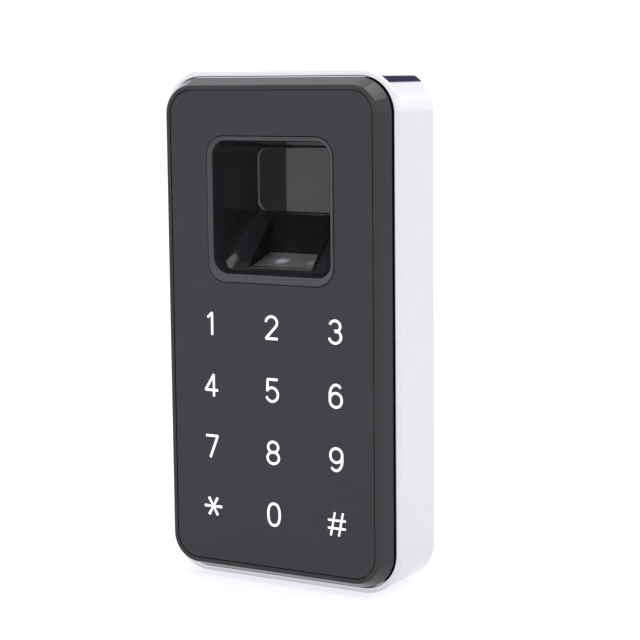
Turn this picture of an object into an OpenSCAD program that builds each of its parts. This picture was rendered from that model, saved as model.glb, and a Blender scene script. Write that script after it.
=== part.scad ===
// Fingerprint scanner terminal with a touch keypad, for a wall or a cabinet door.
// Front faces -Y, +X is right, +Z is up. The origin is the centre of the rear mounting face.
// Places along Y are given as a depth behind the front face, and y_at() turns them into Y.

/* [Body] */
// Width of the chromed housing
body_w = 69; // [66:0.5:84]
// Height of the chromed housing
body_h = 132; // [130:0.5:160]
// Depth from the front face to the rear mounting face
body_d = 23.7; // [23.7:0.1:32]
// Corner radius of the chromed housing
corner_r = 10.9; // [10.5:0.1:13.2]
// How far the black front stands proud of the chromed rim
front_proud = 4.85; // [4.4:0.05:6]

/* [Front] */
// Distance from the housing's outside to the black bezel's side wall
rim_w = 1.8; // [1.6:0.1:2.2]
// Sideways run of the bezel's slanted side
bezel_slant_w = 1.9; // [1.2:0.1:2.2]
// Depth at which the bezel's slanted side ends
bezel_slant_d = 4.1; // [3:0.1:4.3]
// Width of the flat ring around the touch panel
ring_w = 1.1; // [0.8:0.1:1.6]
// Gap around the touch panel
panel_gap = 0.2; // [0.1:0.05:0.3]
// Thickness of the touch panel
panel_t = 1.2; // [1:0.1:1.3]

/* [Finger pocket] */
// Width of the pocket's lip
window_w = 37; // [31:0.5:45]
// Height of the pocket's lip
window_h = 37.2; // [36:0.2:38]
// Height of the lip's centre above the middle of the body
window_z = 30.95; // [30:0.05:33]
// Corner radius of the lip
window_r = 5; // [4:0.5:7]
// Width of the lip at its top and sides
lip_w = 1.25; // [1:0.05:1.6]
// Depth of the pocket's back wall
pocket_d = 18.9; // [18.5:0.1:19]
// Angle of the sensor's floor
floor_angle = 43.5; // [42:0.5:44]
// Width and length of the frame around the sensor's glass
sensor_w = 20; // [18:0.5:20]

/* [Keypad] */
// Distance between two columns of keys
key_pitch_x = 18.57; // [15:0.01:22.4]
// Distance between two rows of keys
key_pitch_z = 16.15; // [15:0.01:16.5]
// Height of the top row of keys above the middle of the body
key_top_z = 1.33; // [0.5:0.01:2]

/* [Mounting] */
// Distance between the two threaded inserts
insert_spacing = 112; // [110:0.5:114]
// Radius of the inserts' thread
insert_r = 2; // [1.5:0.25:2.5]
// Radius of the cable's way out through the grommet
cable_r = 3; // [2.5:0.25:3.5]

/* [Hidden] */
$fn = 64;
over = 1; // how far a cutter runs past the solid that it cuts

// Every outline of the body is drawn around the same four corner centres
corner_x = body_w / 2 - corner_r;
corner_z = body_h / 2 - corner_r;
bezel_r = corner_r - rim_w;
opening_r = bezel_r + 0.2;
ring_r = bezel_r - bezel_slant_w;
recess_r = ring_r - ring_w;
panel_r = recess_r - panel_gap;

// Depths, front to back
panel_front_d = 0.1;
panel_back_d = panel_front_d + panel_t;
recess_d = 1.5;
web_d = 3;          // back of the bezel's inner web
bezel_back_d = 7.9;
ledge_d = 8.4;
ledge_back_d = 9.8;
board_d = 12;       // front of the main board
board_t = 1.6;
board_back_d = board_d + board_t;
seal_d = body_d - 2;
plate_d = body_d - 1.5; // front of the rear plate

// Housing
cavity_r = corner_r - 2;
ledge_r = corner_r - 4.3;
plate_recess_r = corner_r - 0.95;
plate_r = plate_recess_r - 0.15;
rim_chamfer = 0.5;
rear_chamfer = 0.6;
rear_boss_x = body_w / 2 - 4.9;
rear_boss_r = 3.4;
rear_boss_tip_r = 2.6;
rear_boss_end = body_h / 2 - 22;
rear_boss_z = [-rear_boss_end, 0, rear_boss_end];

// Screws: shaft radius and the pilot hole that takes it
small_shaft_r = 0.8;
small_pilot_r = 0.85;
large_shaft_r = 1.2;
large_pilot_r = 1.25;
screw_head_r = 2.9;     // countersunk head at the back face
screw_head_gap = 0.15;  // around the countersunk screw in the rear plate

bezel_boss_r = 3.6;
bezel_screw_out = (ledge_r - 2.78) * sin(45); // from the corner's centre, to each side
bezel_screw_x = corner_x + bezel_screw_out;
bezel_screw_z = corner_z + bezel_screw_out;
board_boss_x = 25.4;
board_boss_z = [-51, -12];
board_boss_r = 2.4;
ear_r = 2.4;
ear_x = window_w / 2 + 2.9;
ear_z = [window_z - 11, window_z + 11];
ear_d = 6;
ear_t = 1.5;

// Pocket
mouth_w = window_w - 2 * lip_w;
mouth_top_z = window_z + window_h / 2 - lip_w;
mouth_low_z = window_z - window_h / 2 + lip_w;
mouth_r = window_r - lip_w + 0.1;
back_w = mouth_w - 4.5;
back_top_z = mouth_top_z - 2;
back_r = 3;
pocket_wall = 1.5;
window_gap = 0.15;
sill_d = 4;         // where the sill meets the sensor's floor
sill_z = mouth_low_z + 1.5;
floor_t = 1.8;
slope_length = (pocket_d - sill_d) / cos(floor_angle);

// Sensor, in the sloping floor's own frame
frame_start = 0.35;
frame_edge = 0.5;
frame_h = 0.5;
frame_length = sensor_w - 0.2;
glass_gap = 0.1;
glass_start = frame_start + frame_edge + glass_gap;
glass_length = frame_length - 2 * (frame_edge + glass_gap);
glass_w = sensor_w - 2 * (frame_edge + glass_gap);
glass_top = 0.3;
glass_edge = 0.5;
prism_back_d = slope_d(glass_start + glass_length, glass_top);
prism_low_z = slope_z(glass_start, -glass_edge);
cheek_w = 1.8;
cheek_gap = 0.15;
bracket_low_z = prism_low_z - 3.7;
bracket_floor_t = 1.1;
sensor_boss_x = sensor_w / 2 + 3.6;
sensor_boss_y = 9;
sensor_boss_h = 3.2;
sensor_ear_t = 1.5;
lens_z = 20;

// Keypad
key_board_w = 2 * key_pitch_x + 7.66;
key_board_h = 3 * key_pitch_z + 12.55;
key_board_z = key_top_z - 1.5 * key_pitch_z - 0.3;
key_board_t = 1.2;
key_board_back_d = recess_d + key_board_t;
ribbon_x = key_pitch_x / 2;
ribbon_w = 10;
ribbon_t = 0.3;
socket_w = 13;
socket_h = 3.5;
socket_t = 1.2;
key_socket_low_z = -2;

// Reset switch
reset_x = -17;
reset_z = -30;
reset_body = 6;
reset_body_h = 3.5;
reset_button_r = 1.75;
reset_travel = 0.25;
reset_hole_r = 2.2;

grommet_x = 0;
grommet_z = -16;
insert_outer_r = 3.5;
insert_length = 5.5;

// Y of a place that lies a given depth behind the front face
function y_at(depth) = depth - body_d;
// Depth and height of a point that is given along the sloping floor and out of it
function slope_d(along, out) = sill_d + along * cos(floor_angle) - out * sin(floor_angle);
function slope_z(along, out) = sill_z + along * sin(floor_angle) + out * cos(floor_angle);

// ---- helpers ----

// Extrudes an outline, drawn as X and Z, from one depth to another
module plate(from_d, to_d) {
    translate([0, y_at(to_d), 0])
        rotate([90, 0, 0])
            linear_extrude(height = to_d - from_d)
                children();
}

// Outline at a radius around the body's four corner centres
module outline(r) {
    square([2 * corner_x, 2 * (corner_z + r)], center = true);
    square([2 * (corner_x + r), 2 * corner_z], center = true);
    for (side = [-1, 1], end = [-1, 1])
        translate([side * corner_x, end * corner_z])
            circle(r = r);
}

// Rectangle with round corners, centred on the origin
module rounded(w, h, r) {
    square([w, h - 2 * r], center = true);
    square([w - 2 * r, h], center = true);
    for (side = [-1, 1], end = [-1, 1])
        translate([side * (w / 2 - r), end * (h / 2 - r)])
            circle(r = r);
}

// The body's outline, growing or shrinking evenly between two depths
module flared_outline(from_r, to_r, from_d, to_d) {
    h = to_d - from_d;
    translate([0, y_at(from_d), 0])
        rotate([-90, 0, 0]) {
            for (side = [-1, 1], end = [-1, 1])
                translate([side * corner_x, end * corner_z, 0])
                    cylinder(h = h, r1 = from_r, r2 = to_r);
            rotate([90, 0, 0])
                linear_extrude(height = 2 * corner_z, center = true)
                    trapezoid(corner_x + from_r, corner_x + to_r, h);
            rotate([90, 0, 90])
                linear_extrude(height = 2 * corner_x, center = true)
                    trapezoid(corner_z + from_r, corner_z + to_r, h);
        }
}

module trapezoid(half_low, half_high, h) {
    polygon([[-half_low, 0], [half_low, 0], [half_high, h], [-half_high, h]]);
}

// Extrudes a side view, drawn as Y and Z, along X
module side_view(points, w) {
    rotate([90, 0, 90])
        linear_extrude(height = w, center = true)
            polygon(points);
}

// Round bar along Y between two depths
module bar(x, z, r, from_d, to_d) {
    translate([x, y_at(from_d), z])
        rotate([-90, 0, 0])
            cylinder(h = to_d - from_d, r = r);
}

// Box given by its centre in X and Z, its size, and two depths
module block(x, z, w, h, from_d, to_d) {
    translate([x - w / 2, y_at(from_d), z - h / 2])
        cube([w, to_d - from_d, h]);
}

// The sensor floor's frame: X across, Y up the slope, Z out of it
module on_slope() {
    translate([0, y_at(sill_d), sill_z])
        rotate([floor_angle, 0, 0])
            children();
}

// Pan-head screw on the Z axis, head above zero and shaft below, with a cross recess
module pan_screw(head_r, head_h, shaft_r, length) {
    difference() {
        union() {
            cylinder(h = head_h * 0.6, r = head_r);
            translate([0, 0, head_h * 0.6])
                cylinder(h = head_h * 0.4, r1 = head_r, r2 = head_r * 0.75);
        }
        for (turn = [0, 90])
            rotate([0, 0, turn])
                translate([-head_r * 0.5, -head_r * 0.12, head_h * 0.4])
                    cube([head_r, head_r * 0.24, head_h]);
    }
    translate([0, 0, -length])
        cylinder(h = length, r = shaft_r);
}

// Pan-head screw driven towards the front, its head resting at a depth
module rear_driven(x, z, head_d, head_r, head_h, shaft_r, length) {
    translate([x, y_at(head_d), z])
        rotate([-90, 0, 0])
            pan_screw(head_r, head_h, shaft_r, length);
}

module at_bezel_screws() {
    for (side = [-1, 1], end = [-1, 1])
        translate([side * bezel_screw_x, 0, end * bezel_screw_z])
            children();
}

module at_board_screws() {
    for (side = [-1, 1], z = board_boss_z)
        translate([side * board_boss_x, 0, z])
            children();
}

module at_pocket_screws() {
    for (side = [-1, 1], z = ear_z)
        translate([side * ear_x, 0, z])
            children();
}

module at_rear_screws() {
    for (side = [-1, 1], z = rear_boss_z)
        translate([side * rear_boss_x, 0, z])
            children();
}

// ---- housing and front ----

module housing() {
    color("gainsboro")
        difference() {
            union() {
                difference() {
                    union() {
                        flared_outline(corner_r - rim_chamfer, corner_r, front_proud, front_proud + rim_chamfer);
                        plate(front_proud + rim_chamfer, body_d - rear_chamfer) outline(corner_r);
                        flared_outline(corner_r, corner_r - rear_chamfer, body_d - rear_chamfer, body_d);
                    }
                    plate(front_proud - over, ledge_d) outline(opening_r);
                    plate(ledge_d - over, ledge_back_d + over) outline(ledge_r);
                    plate(ledge_back_d, body_d + over) outline(cavity_r);
                    plate(seal_d, body_d + over) outline(plate_recess_r);
                }
                at_bezel_screws()
                    bar(0, 0, bezel_boss_r, ledge_d, ledge_back_d);
                at_rear_screws() {
                    bar(0, 0, rear_boss_r, ledge_d, seal_d);
                    bar(0, 0, rear_boss_tip_r, seal_d - over, plate_d);
                }
            }
            at_bezel_screws()
                bar(0, 0, large_shaft_r + 0.3, ledge_d - over, ledge_back_d + over);
            at_rear_screws()
                bar(0, 0, large_pilot_r, plate_d - 9, plate_d + over);
        }
}

module front_bezel() {
    color("black")
        difference() {
            union() {
                difference() {
                    union() {
                        flared_outline(ring_r, bezel_r, 0, bezel_slant_d);
                        plate(bezel_slant_d, bezel_back_d) outline(bezel_r);
                    }
                    plate(-over, recess_d) outline(recess_r);
                    plate(web_d, bezel_back_d + over) outline(ring_r - 0.2);
                    plate(recess_d - over, web_d + over) window_outline(window_gap);
                    plate(recess_d - over, web_d + over)
                        translate([0, key_board_z])
                            rounded(key_board_w + 0.4, key_board_h + 0.5, 2);
                }
                at_bezel_screws()
                    bar(0, 0, bezel_boss_r, recess_d, ledge_d);
                at_board_screws()
                    bar(0, 0, board_boss_r, recess_d, board_d);
                at_pocket_screws()
                    bar(0, 0, ear_r, recess_d, ear_d);
            }
            at_bezel_screws()
                bar(0, 0, large_pilot_r, ledge_d - 5, ledge_d + over);
            at_board_screws()
                bar(0, 0, small_pilot_r, board_d - 6, board_d + over);
            at_pocket_screws()
                bar(0, 0, small_pilot_r, ear_d - 4, ear_d + over);
        }
}

// The pocket lip's outline, grown by a gap
module window_outline(gap) {
    translate([0, window_z])
        rounded(window_w + 2 * gap, window_h + 2 * gap, window_r + gap);
}

module front_seal() {
    color("dimgray")
        plate(bezel_back_d, ledge_d)
            difference() {
                outline(bezel_r);
                outline(ring_r + 0.3);
            }
}

module touch_panel() {
    color([0.03, 0.03, 0.035])
        plate(panel_front_d, panel_back_d)
            difference() {
                outline(panel_r);
                window_outline(window_gap);
            }
}

module panel_tape() {
    color("lightgray")
        plate(panel_back_d, recess_d)
            difference() {
                outline(panel_r - 0.4);
                window_outline(0.6);
            }
}

// ---- finger pocket ----

// Solid between two rounded rectangles, given by width, low and high edge, radius and depth
module flared_box(front, back) {
    hull()
        for (end = [front, back])
            plate(end[4] - 0.01, end[4])
                translate([0, (end[1] + end[2]) / 2])
                    rounded(end[0], end[2] - end[1], end[3], $fn = 32);
}

module finger_pocket() {
    wall = pocket_wall;
    lip_low_z = window_z - window_h / 2;
    body_top_z = window_z + window_h / 2 - 0.2;
    outside = [
        [y_at(0), lip_low_z], [y_at(3.2), lip_low_z],
        [y_at(slope_d(0.3, -floor_t)), slope_z(0.3, -floor_t)],
        [y_at(pocket_d + wall), slope_z((pocket_d + wall - sill_d - floor_t * sin(floor_angle))
            / cos(floor_angle), -floor_t)],
        [y_at(pocket_d + wall), body_h / 2], [y_at(0), body_h / 2]
    ];
    sill = [ // the sill rounds over from the lip to the foot of the sensor's floor
        for (turn = [0 : 10 : 90])
            [y_at(sill_d * (1 - cos(turn))), mouth_low_z + (sill_z - mouth_low_z) * sin(turn)]
    ];
    inside = concat(
        [[y_at(-over), mouth_low_z]], sill,
        [[y_at(slope_d(slope_length + over, 0)), slope_z(slope_length + over, 0)],
            [y_at(pocket_d + over), body_h / 2], [y_at(-over), body_h / 2]]
    );
    color([0.05, 0.05, 0.055])
        difference() {
            union() {
                intersection() {
                    union() {
                        plate(0, web_d) window_outline(0);
                        flared_box(
                            [mouth_w + 2 * wall - 0.9, lip_low_z, body_top_z, mouth_r + wall, web_d],
                            [back_w + 2 * wall, lip_low_z, back_top_z + wall, back_r + wall, pocket_d + wall]);
                    }
                    side_view(outside, body_w);
                }
                at_pocket_screws()
                    bar(0, 0, ear_r, ear_d, ear_d + ear_t);
                for (side = [-1, 1], z = ear_z)
                    block(side * (ear_x - 2), z, 4, 2 * ear_r, ear_d, ear_d + ear_t);
                on_slope()
                    for (side = [-1, 1])
                        translate([side * sensor_boss_x, sensor_boss_y, -floor_t - sensor_boss_h])
                            cylinder(h = sensor_boss_h + 0.6, r = 2.2);
            }
            intersection() {
                flared_box(
                    [mouth_w, mouth_low_z - over, mouth_top_z, mouth_r, 0],
                    [back_w, mouth_low_z - over, back_top_z, back_r, pocket_d]);
                side_view(inside, body_w);
            }
            on_slope()
                translate([-sensor_w / 2 + 0.4, frame_start + 0.4, -floor_t - over])
                    cube([sensor_w - 0.8, frame_length - 0.8, floor_t + 2 * over]);
            at_pocket_screws()
                bar(0, 0, small_pilot_r + 0.15, ear_d - over, ear_d + ear_t + over);
            on_slope()
                for (side = [-1, 1])
                    translate([side * sensor_boss_x, sensor_boss_y, -floor_t - sensor_boss_h - over])
                        cylinder(h = 3.8 + over, r = small_pilot_r);
        }
}

module pocket_screws() {
    color("silver")
        at_pocket_screws()
            rear_driven(0, 0, ear_d + ear_t, 1.7, 1.2, small_shaft_r, 4.5);
}

module sensor_frame() {
    color([0.09, 0.09, 0.1])
        on_slope()
            translate([0, frame_start + frame_length / 2, 0])
                linear_extrude(height = frame_h)
                    difference() {
                        rounded(sensor_w, frame_length, 0.8);
                        rounded(sensor_w - 2 * frame_edge, frame_length - 2 * frame_edge, 0.4);
                    }
}

module sensor_prism() {
    points = [
        [y_at(slope_d(glass_start, glass_top)), slope_z(glass_start, glass_top)],
        [y_at(prism_back_d), slope_z(glass_start + glass_length, glass_top)],
        [y_at(prism_back_d), prism_low_z],
        [y_at(slope_d(glass_start, -glass_edge)), prism_low_z]
    ];
    color("lightcyan", 0.4)
        side_view(points, glass_w);
}

module light_diffuser() {
    color("ivory")
        block(0, prism_low_z - 0.45, 17.6, 0.8, 7, prism_back_d - 0.3);
}

module light_board() {
    color("darkgreen")
        block(0, prism_low_z - 2.05, 18.4, 0.8, 6.8, prism_back_d - 0.2);
}

module sensor_leds() {
    color("white")
        for (x = [-6, -2, 2, 6])
            block(x, prism_low_z - 1.25, 1.6, 0.7, 11.2, 12);
}

module lens_shade() {
    color([0.04, 0.04, 0.04])
        difference() {
            block(0, (prism_low_z + 28) / 2, glass_w - 0.4, 28 - prism_low_z, prism_back_d + 0.1, prism_back_d + 0.9);
            bar(0, lens_z, 1.2, prism_back_d - over, prism_back_d + 2);
        }
}

module lens_barrel() {
    color([0.12, 0.12, 0.12])
        difference() {
            bar(0, lens_z, 2.4, prism_back_d + 0.9, prism_back_d + 2.7);
            bar(0, lens_z, 1.9, prism_back_d + 0.9 - over, prism_back_d + 2.7 + over);
        }
}

module image_sensor() {
    color("slategray")
        block(0, lens_z, 2.4, 2.4, prism_back_d + 2.1, prism_back_d + 2.7);
}

module image_board() {
    color("darkgreen")
        block(0, lens_z, 16, 14, prism_back_d + 2.7, prism_back_d + 3.5);
}

module sensor_bracket() {
    half_w = glass_w / 2 + cheek_gap;
    top = -floor_t - 0.05;
    front_d = slope_d(2.5, top);
    back_d = prism_back_d + 3.6;
    cheek = [
        [y_at(front_d), bracket_low_z], [y_at(back_d), bracket_low_z],
        [y_at(back_d), slope_z(19, top)], [y_at(slope_d(19, top)), slope_z(19, top)],
        [y_at(front_d), slope_z(2.5, top)]
    ];
    color([0.1, 0.1, 0.11])
        difference() {
            union() {
                for (side = [-1, 1])
                    translate([side * (half_w + cheek_w / 2), 0, 0])
                        side_view(cheek, cheek_w);
                block(0, bracket_low_z + bracket_floor_t / 2, 2 * half_w + 0.2, bracket_floor_t, front_d, back_d - 1.8);
                on_slope()
                    for (side = [-1, 1])
                        translate([side * (half_w + 3.4) - 3.2, sensor_boss_y - 2.6, -floor_t - sensor_boss_h - sensor_ear_t])
                            cube([6.4, 5.2, sensor_ear_t]);
            }
            side_cut = 2 * half_w;
            block(0, 22, side_cut, 18.2, front_d - over, back_d + over);
            on_slope()
                for (side = [-1, 1])
                    translate([side * sensor_boss_x, sensor_boss_y, -floor_t - sensor_boss_h - sensor_ear_t - over])
                        cylinder(h = sensor_ear_t + 2 * over, r = small_shaft_r + 0.2);
        }
}

module sensor_screws() {
    color("silver")
        on_slope()
            for (side = [-1, 1])
                translate([side * sensor_boss_x, sensor_boss_y, -floor_t - sensor_boss_h - sensor_ear_t])
                    rotate([180, 0, 0])
                        pan_screw(1.6, 1.1, small_shaft_r, 4.8);
}

// ---- keypad ----

// Places its children at the twelve keys, in X and Z
module at_keys() {
    for (column = [-1 : 1], row = [0 : 3])
        translate([column * key_pitch_x, 0, key_top_z - row * key_pitch_z])
            children();
}

module keypad_board() {
    color("darkgreen")
        difference() {
            plate(recess_d, key_board_back_d)
                translate([0, key_board_z])
                    rounded(key_board_w, key_board_h, 1.8);
            at_keys()
                block(0, 0, 2.4, 1.4, recess_d - over, key_board_back_d + over);
            at_board_screws()
                bar(0, 0, board_boss_r + 0.3, recess_d - over, key_board_back_d + over);
        }
}

module key_leds() {
    color("white")
        at_keys()
            block(0, 0, 3.2, 1.6, key_board_back_d, key_board_back_d + 0.6);
}

module touch_chip() {
    color([0.08, 0.08, 0.08])
        block(-ribbon_x, key_top_z - key_pitch_z / 2, 7, 7, key_board_back_d, key_board_back_d + 1);
}

module keypad_ribbon() {
    front_mid_d = key_board_back_d + socket_t / 2;
    back_mid_d = board_d - socket_t / 2;
    bend_r = (back_mid_d - front_mid_d) / 2;
    run = 4;
    color("whitesmoke")
        translate([ribbon_x, y_at(front_mid_d + bend_r), key_socket_low_z])
            rotate([90, 0, 90])
                linear_extrude(height = ribbon_w, center = true) {
                    for (side = [-1, 1])
                        translate([side * bend_r - ribbon_t / 2, -run])
                            square([ribbon_t, run]);
                    translate([0, -run])
                        difference() {
                            circle(r = bend_r + ribbon_t / 2);
                            circle(r = bend_r - ribbon_t / 2);
                            translate([-2 * bend_r, 0])
                                square([4 * bend_r, 2 * bend_r]);
                        }
                }
}

module ribbon_sockets() {
    z = key_socket_low_z + socket_h / 2;
    color("ivory") {
        block(ribbon_x, z, socket_w, socket_h, key_board_back_d, key_board_back_d + socket_t);
        block(ribbon_x, z, socket_w, socket_h, board_d - socket_t, board_d);
        block(0, 5, socket_w, 3, board_back_d, board_back_d + 2.2);
    }
}

module sensor_ribbon() {
    mid_d = prism_back_d + 3.1;
    top_z = lens_z - 7;
    low_z = 5;
    bend_r = 3;
    color("darkorange")
        rotate([90, 0, 90])
            linear_extrude(height = ribbon_w, center = true) {
                translate([y_at(mid_d) - ribbon_t / 2, low_z + bend_r])
                    square([ribbon_t, top_z - low_z - bend_r]);
                translate([y_at(board_back_d + 2.2), low_z - ribbon_t / 2])
                    square([mid_d - bend_r - board_back_d - 2.2, ribbon_t]);
                translate([y_at(mid_d - bend_r), low_z + bend_r])
                    difference() {
                        circle(r = bend_r + ribbon_t / 2);
                        circle(r = bend_r - ribbon_t / 2);
                        translate([-2 * bend_r, 0])
                            square([4 * bend_r, 2 * bend_r]);
                        translate([-2 * bend_r, -2 * bend_r])
                            square([2 * bend_r, 4 * bend_r]);
                    }
            }
}

// ---- main board ----

module main_board() {
    top_z = 7;   // clear of the sensor's bracket
    low_z = -57; // clear of the housing's lower end
    half_w = board_boss_x + 2.4;
    color("darkgreen")
        difference() {
            block(0, (top_z + low_z) / 2, 2 * half_w, top_z - low_z, board_d, board_back_d);
            at_rear_screws()
                bar(0, 0, rear_boss_r + 0.5, board_d - over, board_back_d + over);
            at_board_screws()
                bar(0, 0, small_shaft_r + 0.3, board_d - over, board_back_d + over);
        }
}

module board_screws() {
    color("silver")
        at_board_screws()
            rear_driven(0, 0, board_back_d, 1.9, 1.3, small_shaft_r, 6.5);
}

// Part that stands on the back of the main board
module board_part(x, z, w, h, height) {
    block(x, z, w, h, board_back_d, board_back_d + height);
}

module processor() {
    color([0.07, 0.07, 0.07])
        board_part(-4, -30, 10, 10, 1.2);
}

module memory_chip() {
    color([0.07, 0.07, 0.07])
        board_part(-18, -16, 5.2, 6, 1.5);
}

module crystal() {
    color("silver")
        plate(board_back_d, board_back_d + 3.2)
            translate([-4, -39])
                rounded(8, 3.2, 1.55);
}

module power_chip() {
    color([0.07, 0.07, 0.07])
        board_part(18, -52, 6.5, 6, 2.3);
}

module power_coil() {
    color("dimgray")
        plate(board_back_d, board_back_d + 4)
            translate([9, -51])
                rounded(7, 7, 1.5);
}

module capacitors() {
    color("silver")
        for (x = [-20, -12, -4])
            bar(x, -47, 3.15, board_back_d, board_back_d + 5.8);
}

module lock_relay() {
    color("royalblue")
        board_part(15, -32, 10, 15, 7.6);
}

module buzzer() {
    color([0.06, 0.06, 0.06])
        difference() {
            bar(-12, -34, 6, board_d - 5.5, board_d);
            bar(-12, -34, 1.2, board_d - 5.5 - over, board_d - 4);
        }
}

module wire_socket() {
    color("ivory")
        difference() {
            board_part(0, -5, 20, 5.6, 6);
            block(0, -5, 18, 4, board_back_d + 2, board_back_d + 6 + over);
        }
}

module reset_switch() {
    color([0.1, 0.1, 0.1])
        difference() {
            board_part(reset_x, reset_z, reset_body, reset_body, reset_body_h);
            bar(reset_x, reset_z, reset_button_r + 0.05, board_back_d + 2, board_back_d + reset_body_h + over);
        }
}

module reset_button() {
    foot_d = board_back_d + 2 + reset_travel + 0.1;
    color("orangered")
        bar(reset_x, reset_z, reset_button_r, foot_d, plate_d - 0.4);
}

// ---- rear ----

module bezel_screws() {
    color("silver")
        at_bezel_screws()
            rear_driven(0, 0, ledge_back_d, 2.4, 1.6, large_shaft_r, 5.5);
}

module rear_plate() {
    color("gray")
        difference() {
            plate(plate_d, body_d) outline(plate_r);
            at_rear_screws()
                translate([0, y_at(plate_d), 0])
                    rotate([-90, 0, 0])
                        cylinder(h = body_d - plate_d, r1 = screw_head_gap + large_shaft_r, r2 = screw_head_gap + screw_head_r);
            bar(grommet_x, grommet_z, cable_r + 2, plate_d - over, body_d + over);
            bar(reset_x, reset_z, reset_hole_r, plate_d - over, body_d + over);
            for (end = [-1, 1])
                bar(0, end * insert_spacing / 2, insert_outer_r - 0.5, plate_d - over, body_d + over);
        }
}

module rear_seal() {
    color("dimgray")
        plate(seal_d, plate_d)
            difference() {
                outline(plate_r);
                outline(cavity_r + 0.1);
            }
}

module rear_screws() {
    color("silver")
        at_rear_screws() {
            translate([0, y_at(plate_d), 0])
                rotate([-90, 0, 0])
                    difference() {
                        cylinder(h = body_d - plate_d, r1 = large_shaft_r, r2 = screw_head_r);
                        for (turn = [0, 90])
                            rotate([0, 0, turn])
                                translate([-1.4, -0.3, 0.7])
                                    cube([2.8, 0.6, 2]);
                    }
            bar(0, 0, large_shaft_r, plate_d - 8.5, plate_d);
        }
}

module cable_grommet() {
    color([0.15, 0.15, 0.15])
        difference() {
            union() {
                bar(grommet_x, grommet_z, cable_r + 3.5, plate_d - 1.5, plate_d);
                bar(grommet_x, grommet_z, cable_r + 2, plate_d, body_d);
            }
            bar(grommet_x, grommet_z, cable_r, plate_d - 1.5 - over, body_d + over);
        }
}

module mounting_inserts() {
    color("gold")
        for (end = [-1, 1])
            difference() {
                union() {
                    bar(0, end * insert_spacing / 2, insert_outer_r, body_d - insert_length, plate_d);
                    bar(0, end * insert_spacing / 2, insert_outer_r - 0.55, plate_d, body_d);
                }
                bar(0, end * insert_spacing / 2, insert_r, body_d - insert_length - over, body_d + over);
            }
}

housing();
front_bezel();
front_seal();
touch_panel();
panel_tape();
finger_pocket();
pocket_screws();
sensor_frame();
sensor_prism();
light_diffuser();
light_board();
sensor_leds();
lens_shade();
lens_barrel();
image_sensor();
image_board();
sensor_bracket();
sensor_screws();
sensor_ribbon();
keypad_board();
key_leds();
touch_chip();
keypad_ribbon();
ribbon_sockets();
main_board();
processor();
memory_chip();
crystal();
power_chip();
power_coil();
capacitors();
lock_relay();
buzzer();
wire_socket();
reset_switch();
reset_button();
board_screws();
bezel_screws();
rear_plate();
rear_seal();
rear_screws();
cable_grommet();
mounting_inserts();
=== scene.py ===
"""Looks of a fingerprint scanner terminal with a touch keypad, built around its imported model.

Sizes are in millimetres. A place along Y is given as a depth behind the terminal's front face,
and place() turns it into the model's own frame, in metres.
"""

import logging
import math
from dataclasses import dataclass, field
from enum import Enum
from typing import Any, Iterable, NamedTuple, Sequence

import bmesh
import bpy
from mathutils import Matrix, Vector


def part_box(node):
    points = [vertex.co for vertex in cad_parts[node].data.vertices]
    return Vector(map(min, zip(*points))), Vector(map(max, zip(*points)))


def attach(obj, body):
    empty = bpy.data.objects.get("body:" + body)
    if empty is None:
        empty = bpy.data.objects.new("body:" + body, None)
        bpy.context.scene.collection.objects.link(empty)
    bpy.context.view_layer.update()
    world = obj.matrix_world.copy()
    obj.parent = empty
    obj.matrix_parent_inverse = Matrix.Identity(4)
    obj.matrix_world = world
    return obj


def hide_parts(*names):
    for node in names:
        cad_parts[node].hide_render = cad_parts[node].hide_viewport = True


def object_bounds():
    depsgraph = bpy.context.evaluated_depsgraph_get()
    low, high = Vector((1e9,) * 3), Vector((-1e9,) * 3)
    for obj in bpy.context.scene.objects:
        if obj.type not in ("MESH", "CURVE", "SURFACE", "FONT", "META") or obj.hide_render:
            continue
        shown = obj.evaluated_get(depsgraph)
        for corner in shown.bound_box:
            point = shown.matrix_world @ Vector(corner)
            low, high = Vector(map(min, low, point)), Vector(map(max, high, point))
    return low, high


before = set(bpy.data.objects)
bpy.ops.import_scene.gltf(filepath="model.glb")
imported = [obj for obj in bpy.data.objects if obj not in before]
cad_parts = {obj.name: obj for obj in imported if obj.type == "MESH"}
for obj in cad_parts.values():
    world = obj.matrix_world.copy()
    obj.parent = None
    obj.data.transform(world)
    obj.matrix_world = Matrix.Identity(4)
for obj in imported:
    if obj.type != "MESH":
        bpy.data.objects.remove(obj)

CAD_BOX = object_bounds()
MM = 0.001
FRONT_Y = CAD_BOX[0].y
BODY_D = (CAD_BOX[1].y - CAD_BOX[0].y) / MM
TERMINAL = "terminal"
log = logging.getLogger("terminal")

# Points closer than this, in metres, are one point.
SAME_POINT = 1e-7
# Faces that lean less than this from each other, in degrees, are one flat face.
FLAT_DEG = 0.4
# How far a cutter reaches past what it cuts, in millimetres.
PAST = 1.0
# The signs of X and Z at a rectangle's corners, anticlockwise from the upper right.
CORNERS = ((1, 1), (-1, 1), (-1, -1), (1, -1))
SIDES = (-1, 1)

Point = tuple[float, float]
Colour = tuple[float, float, float]


def place(x: float, depth: float, z: float) -> Vector:
    """A point of the model, in metres, from its X, its depth and its height in millimetres."""
    return Vector((x * MM, FRONT_Y + depth * MM, z * MM))


def depth_of(y: float) -> float:
    """The depth behind the front face of a Y value in metres."""
    return (y - FRONT_Y) / MM


# ---- outlines and profiles ----


class Corner(NamedTuple):
    """A corner of a profile: its two coordinates and the radius that rounds it."""

    a: float
    b: float
    fillet: float = 0.0


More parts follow.
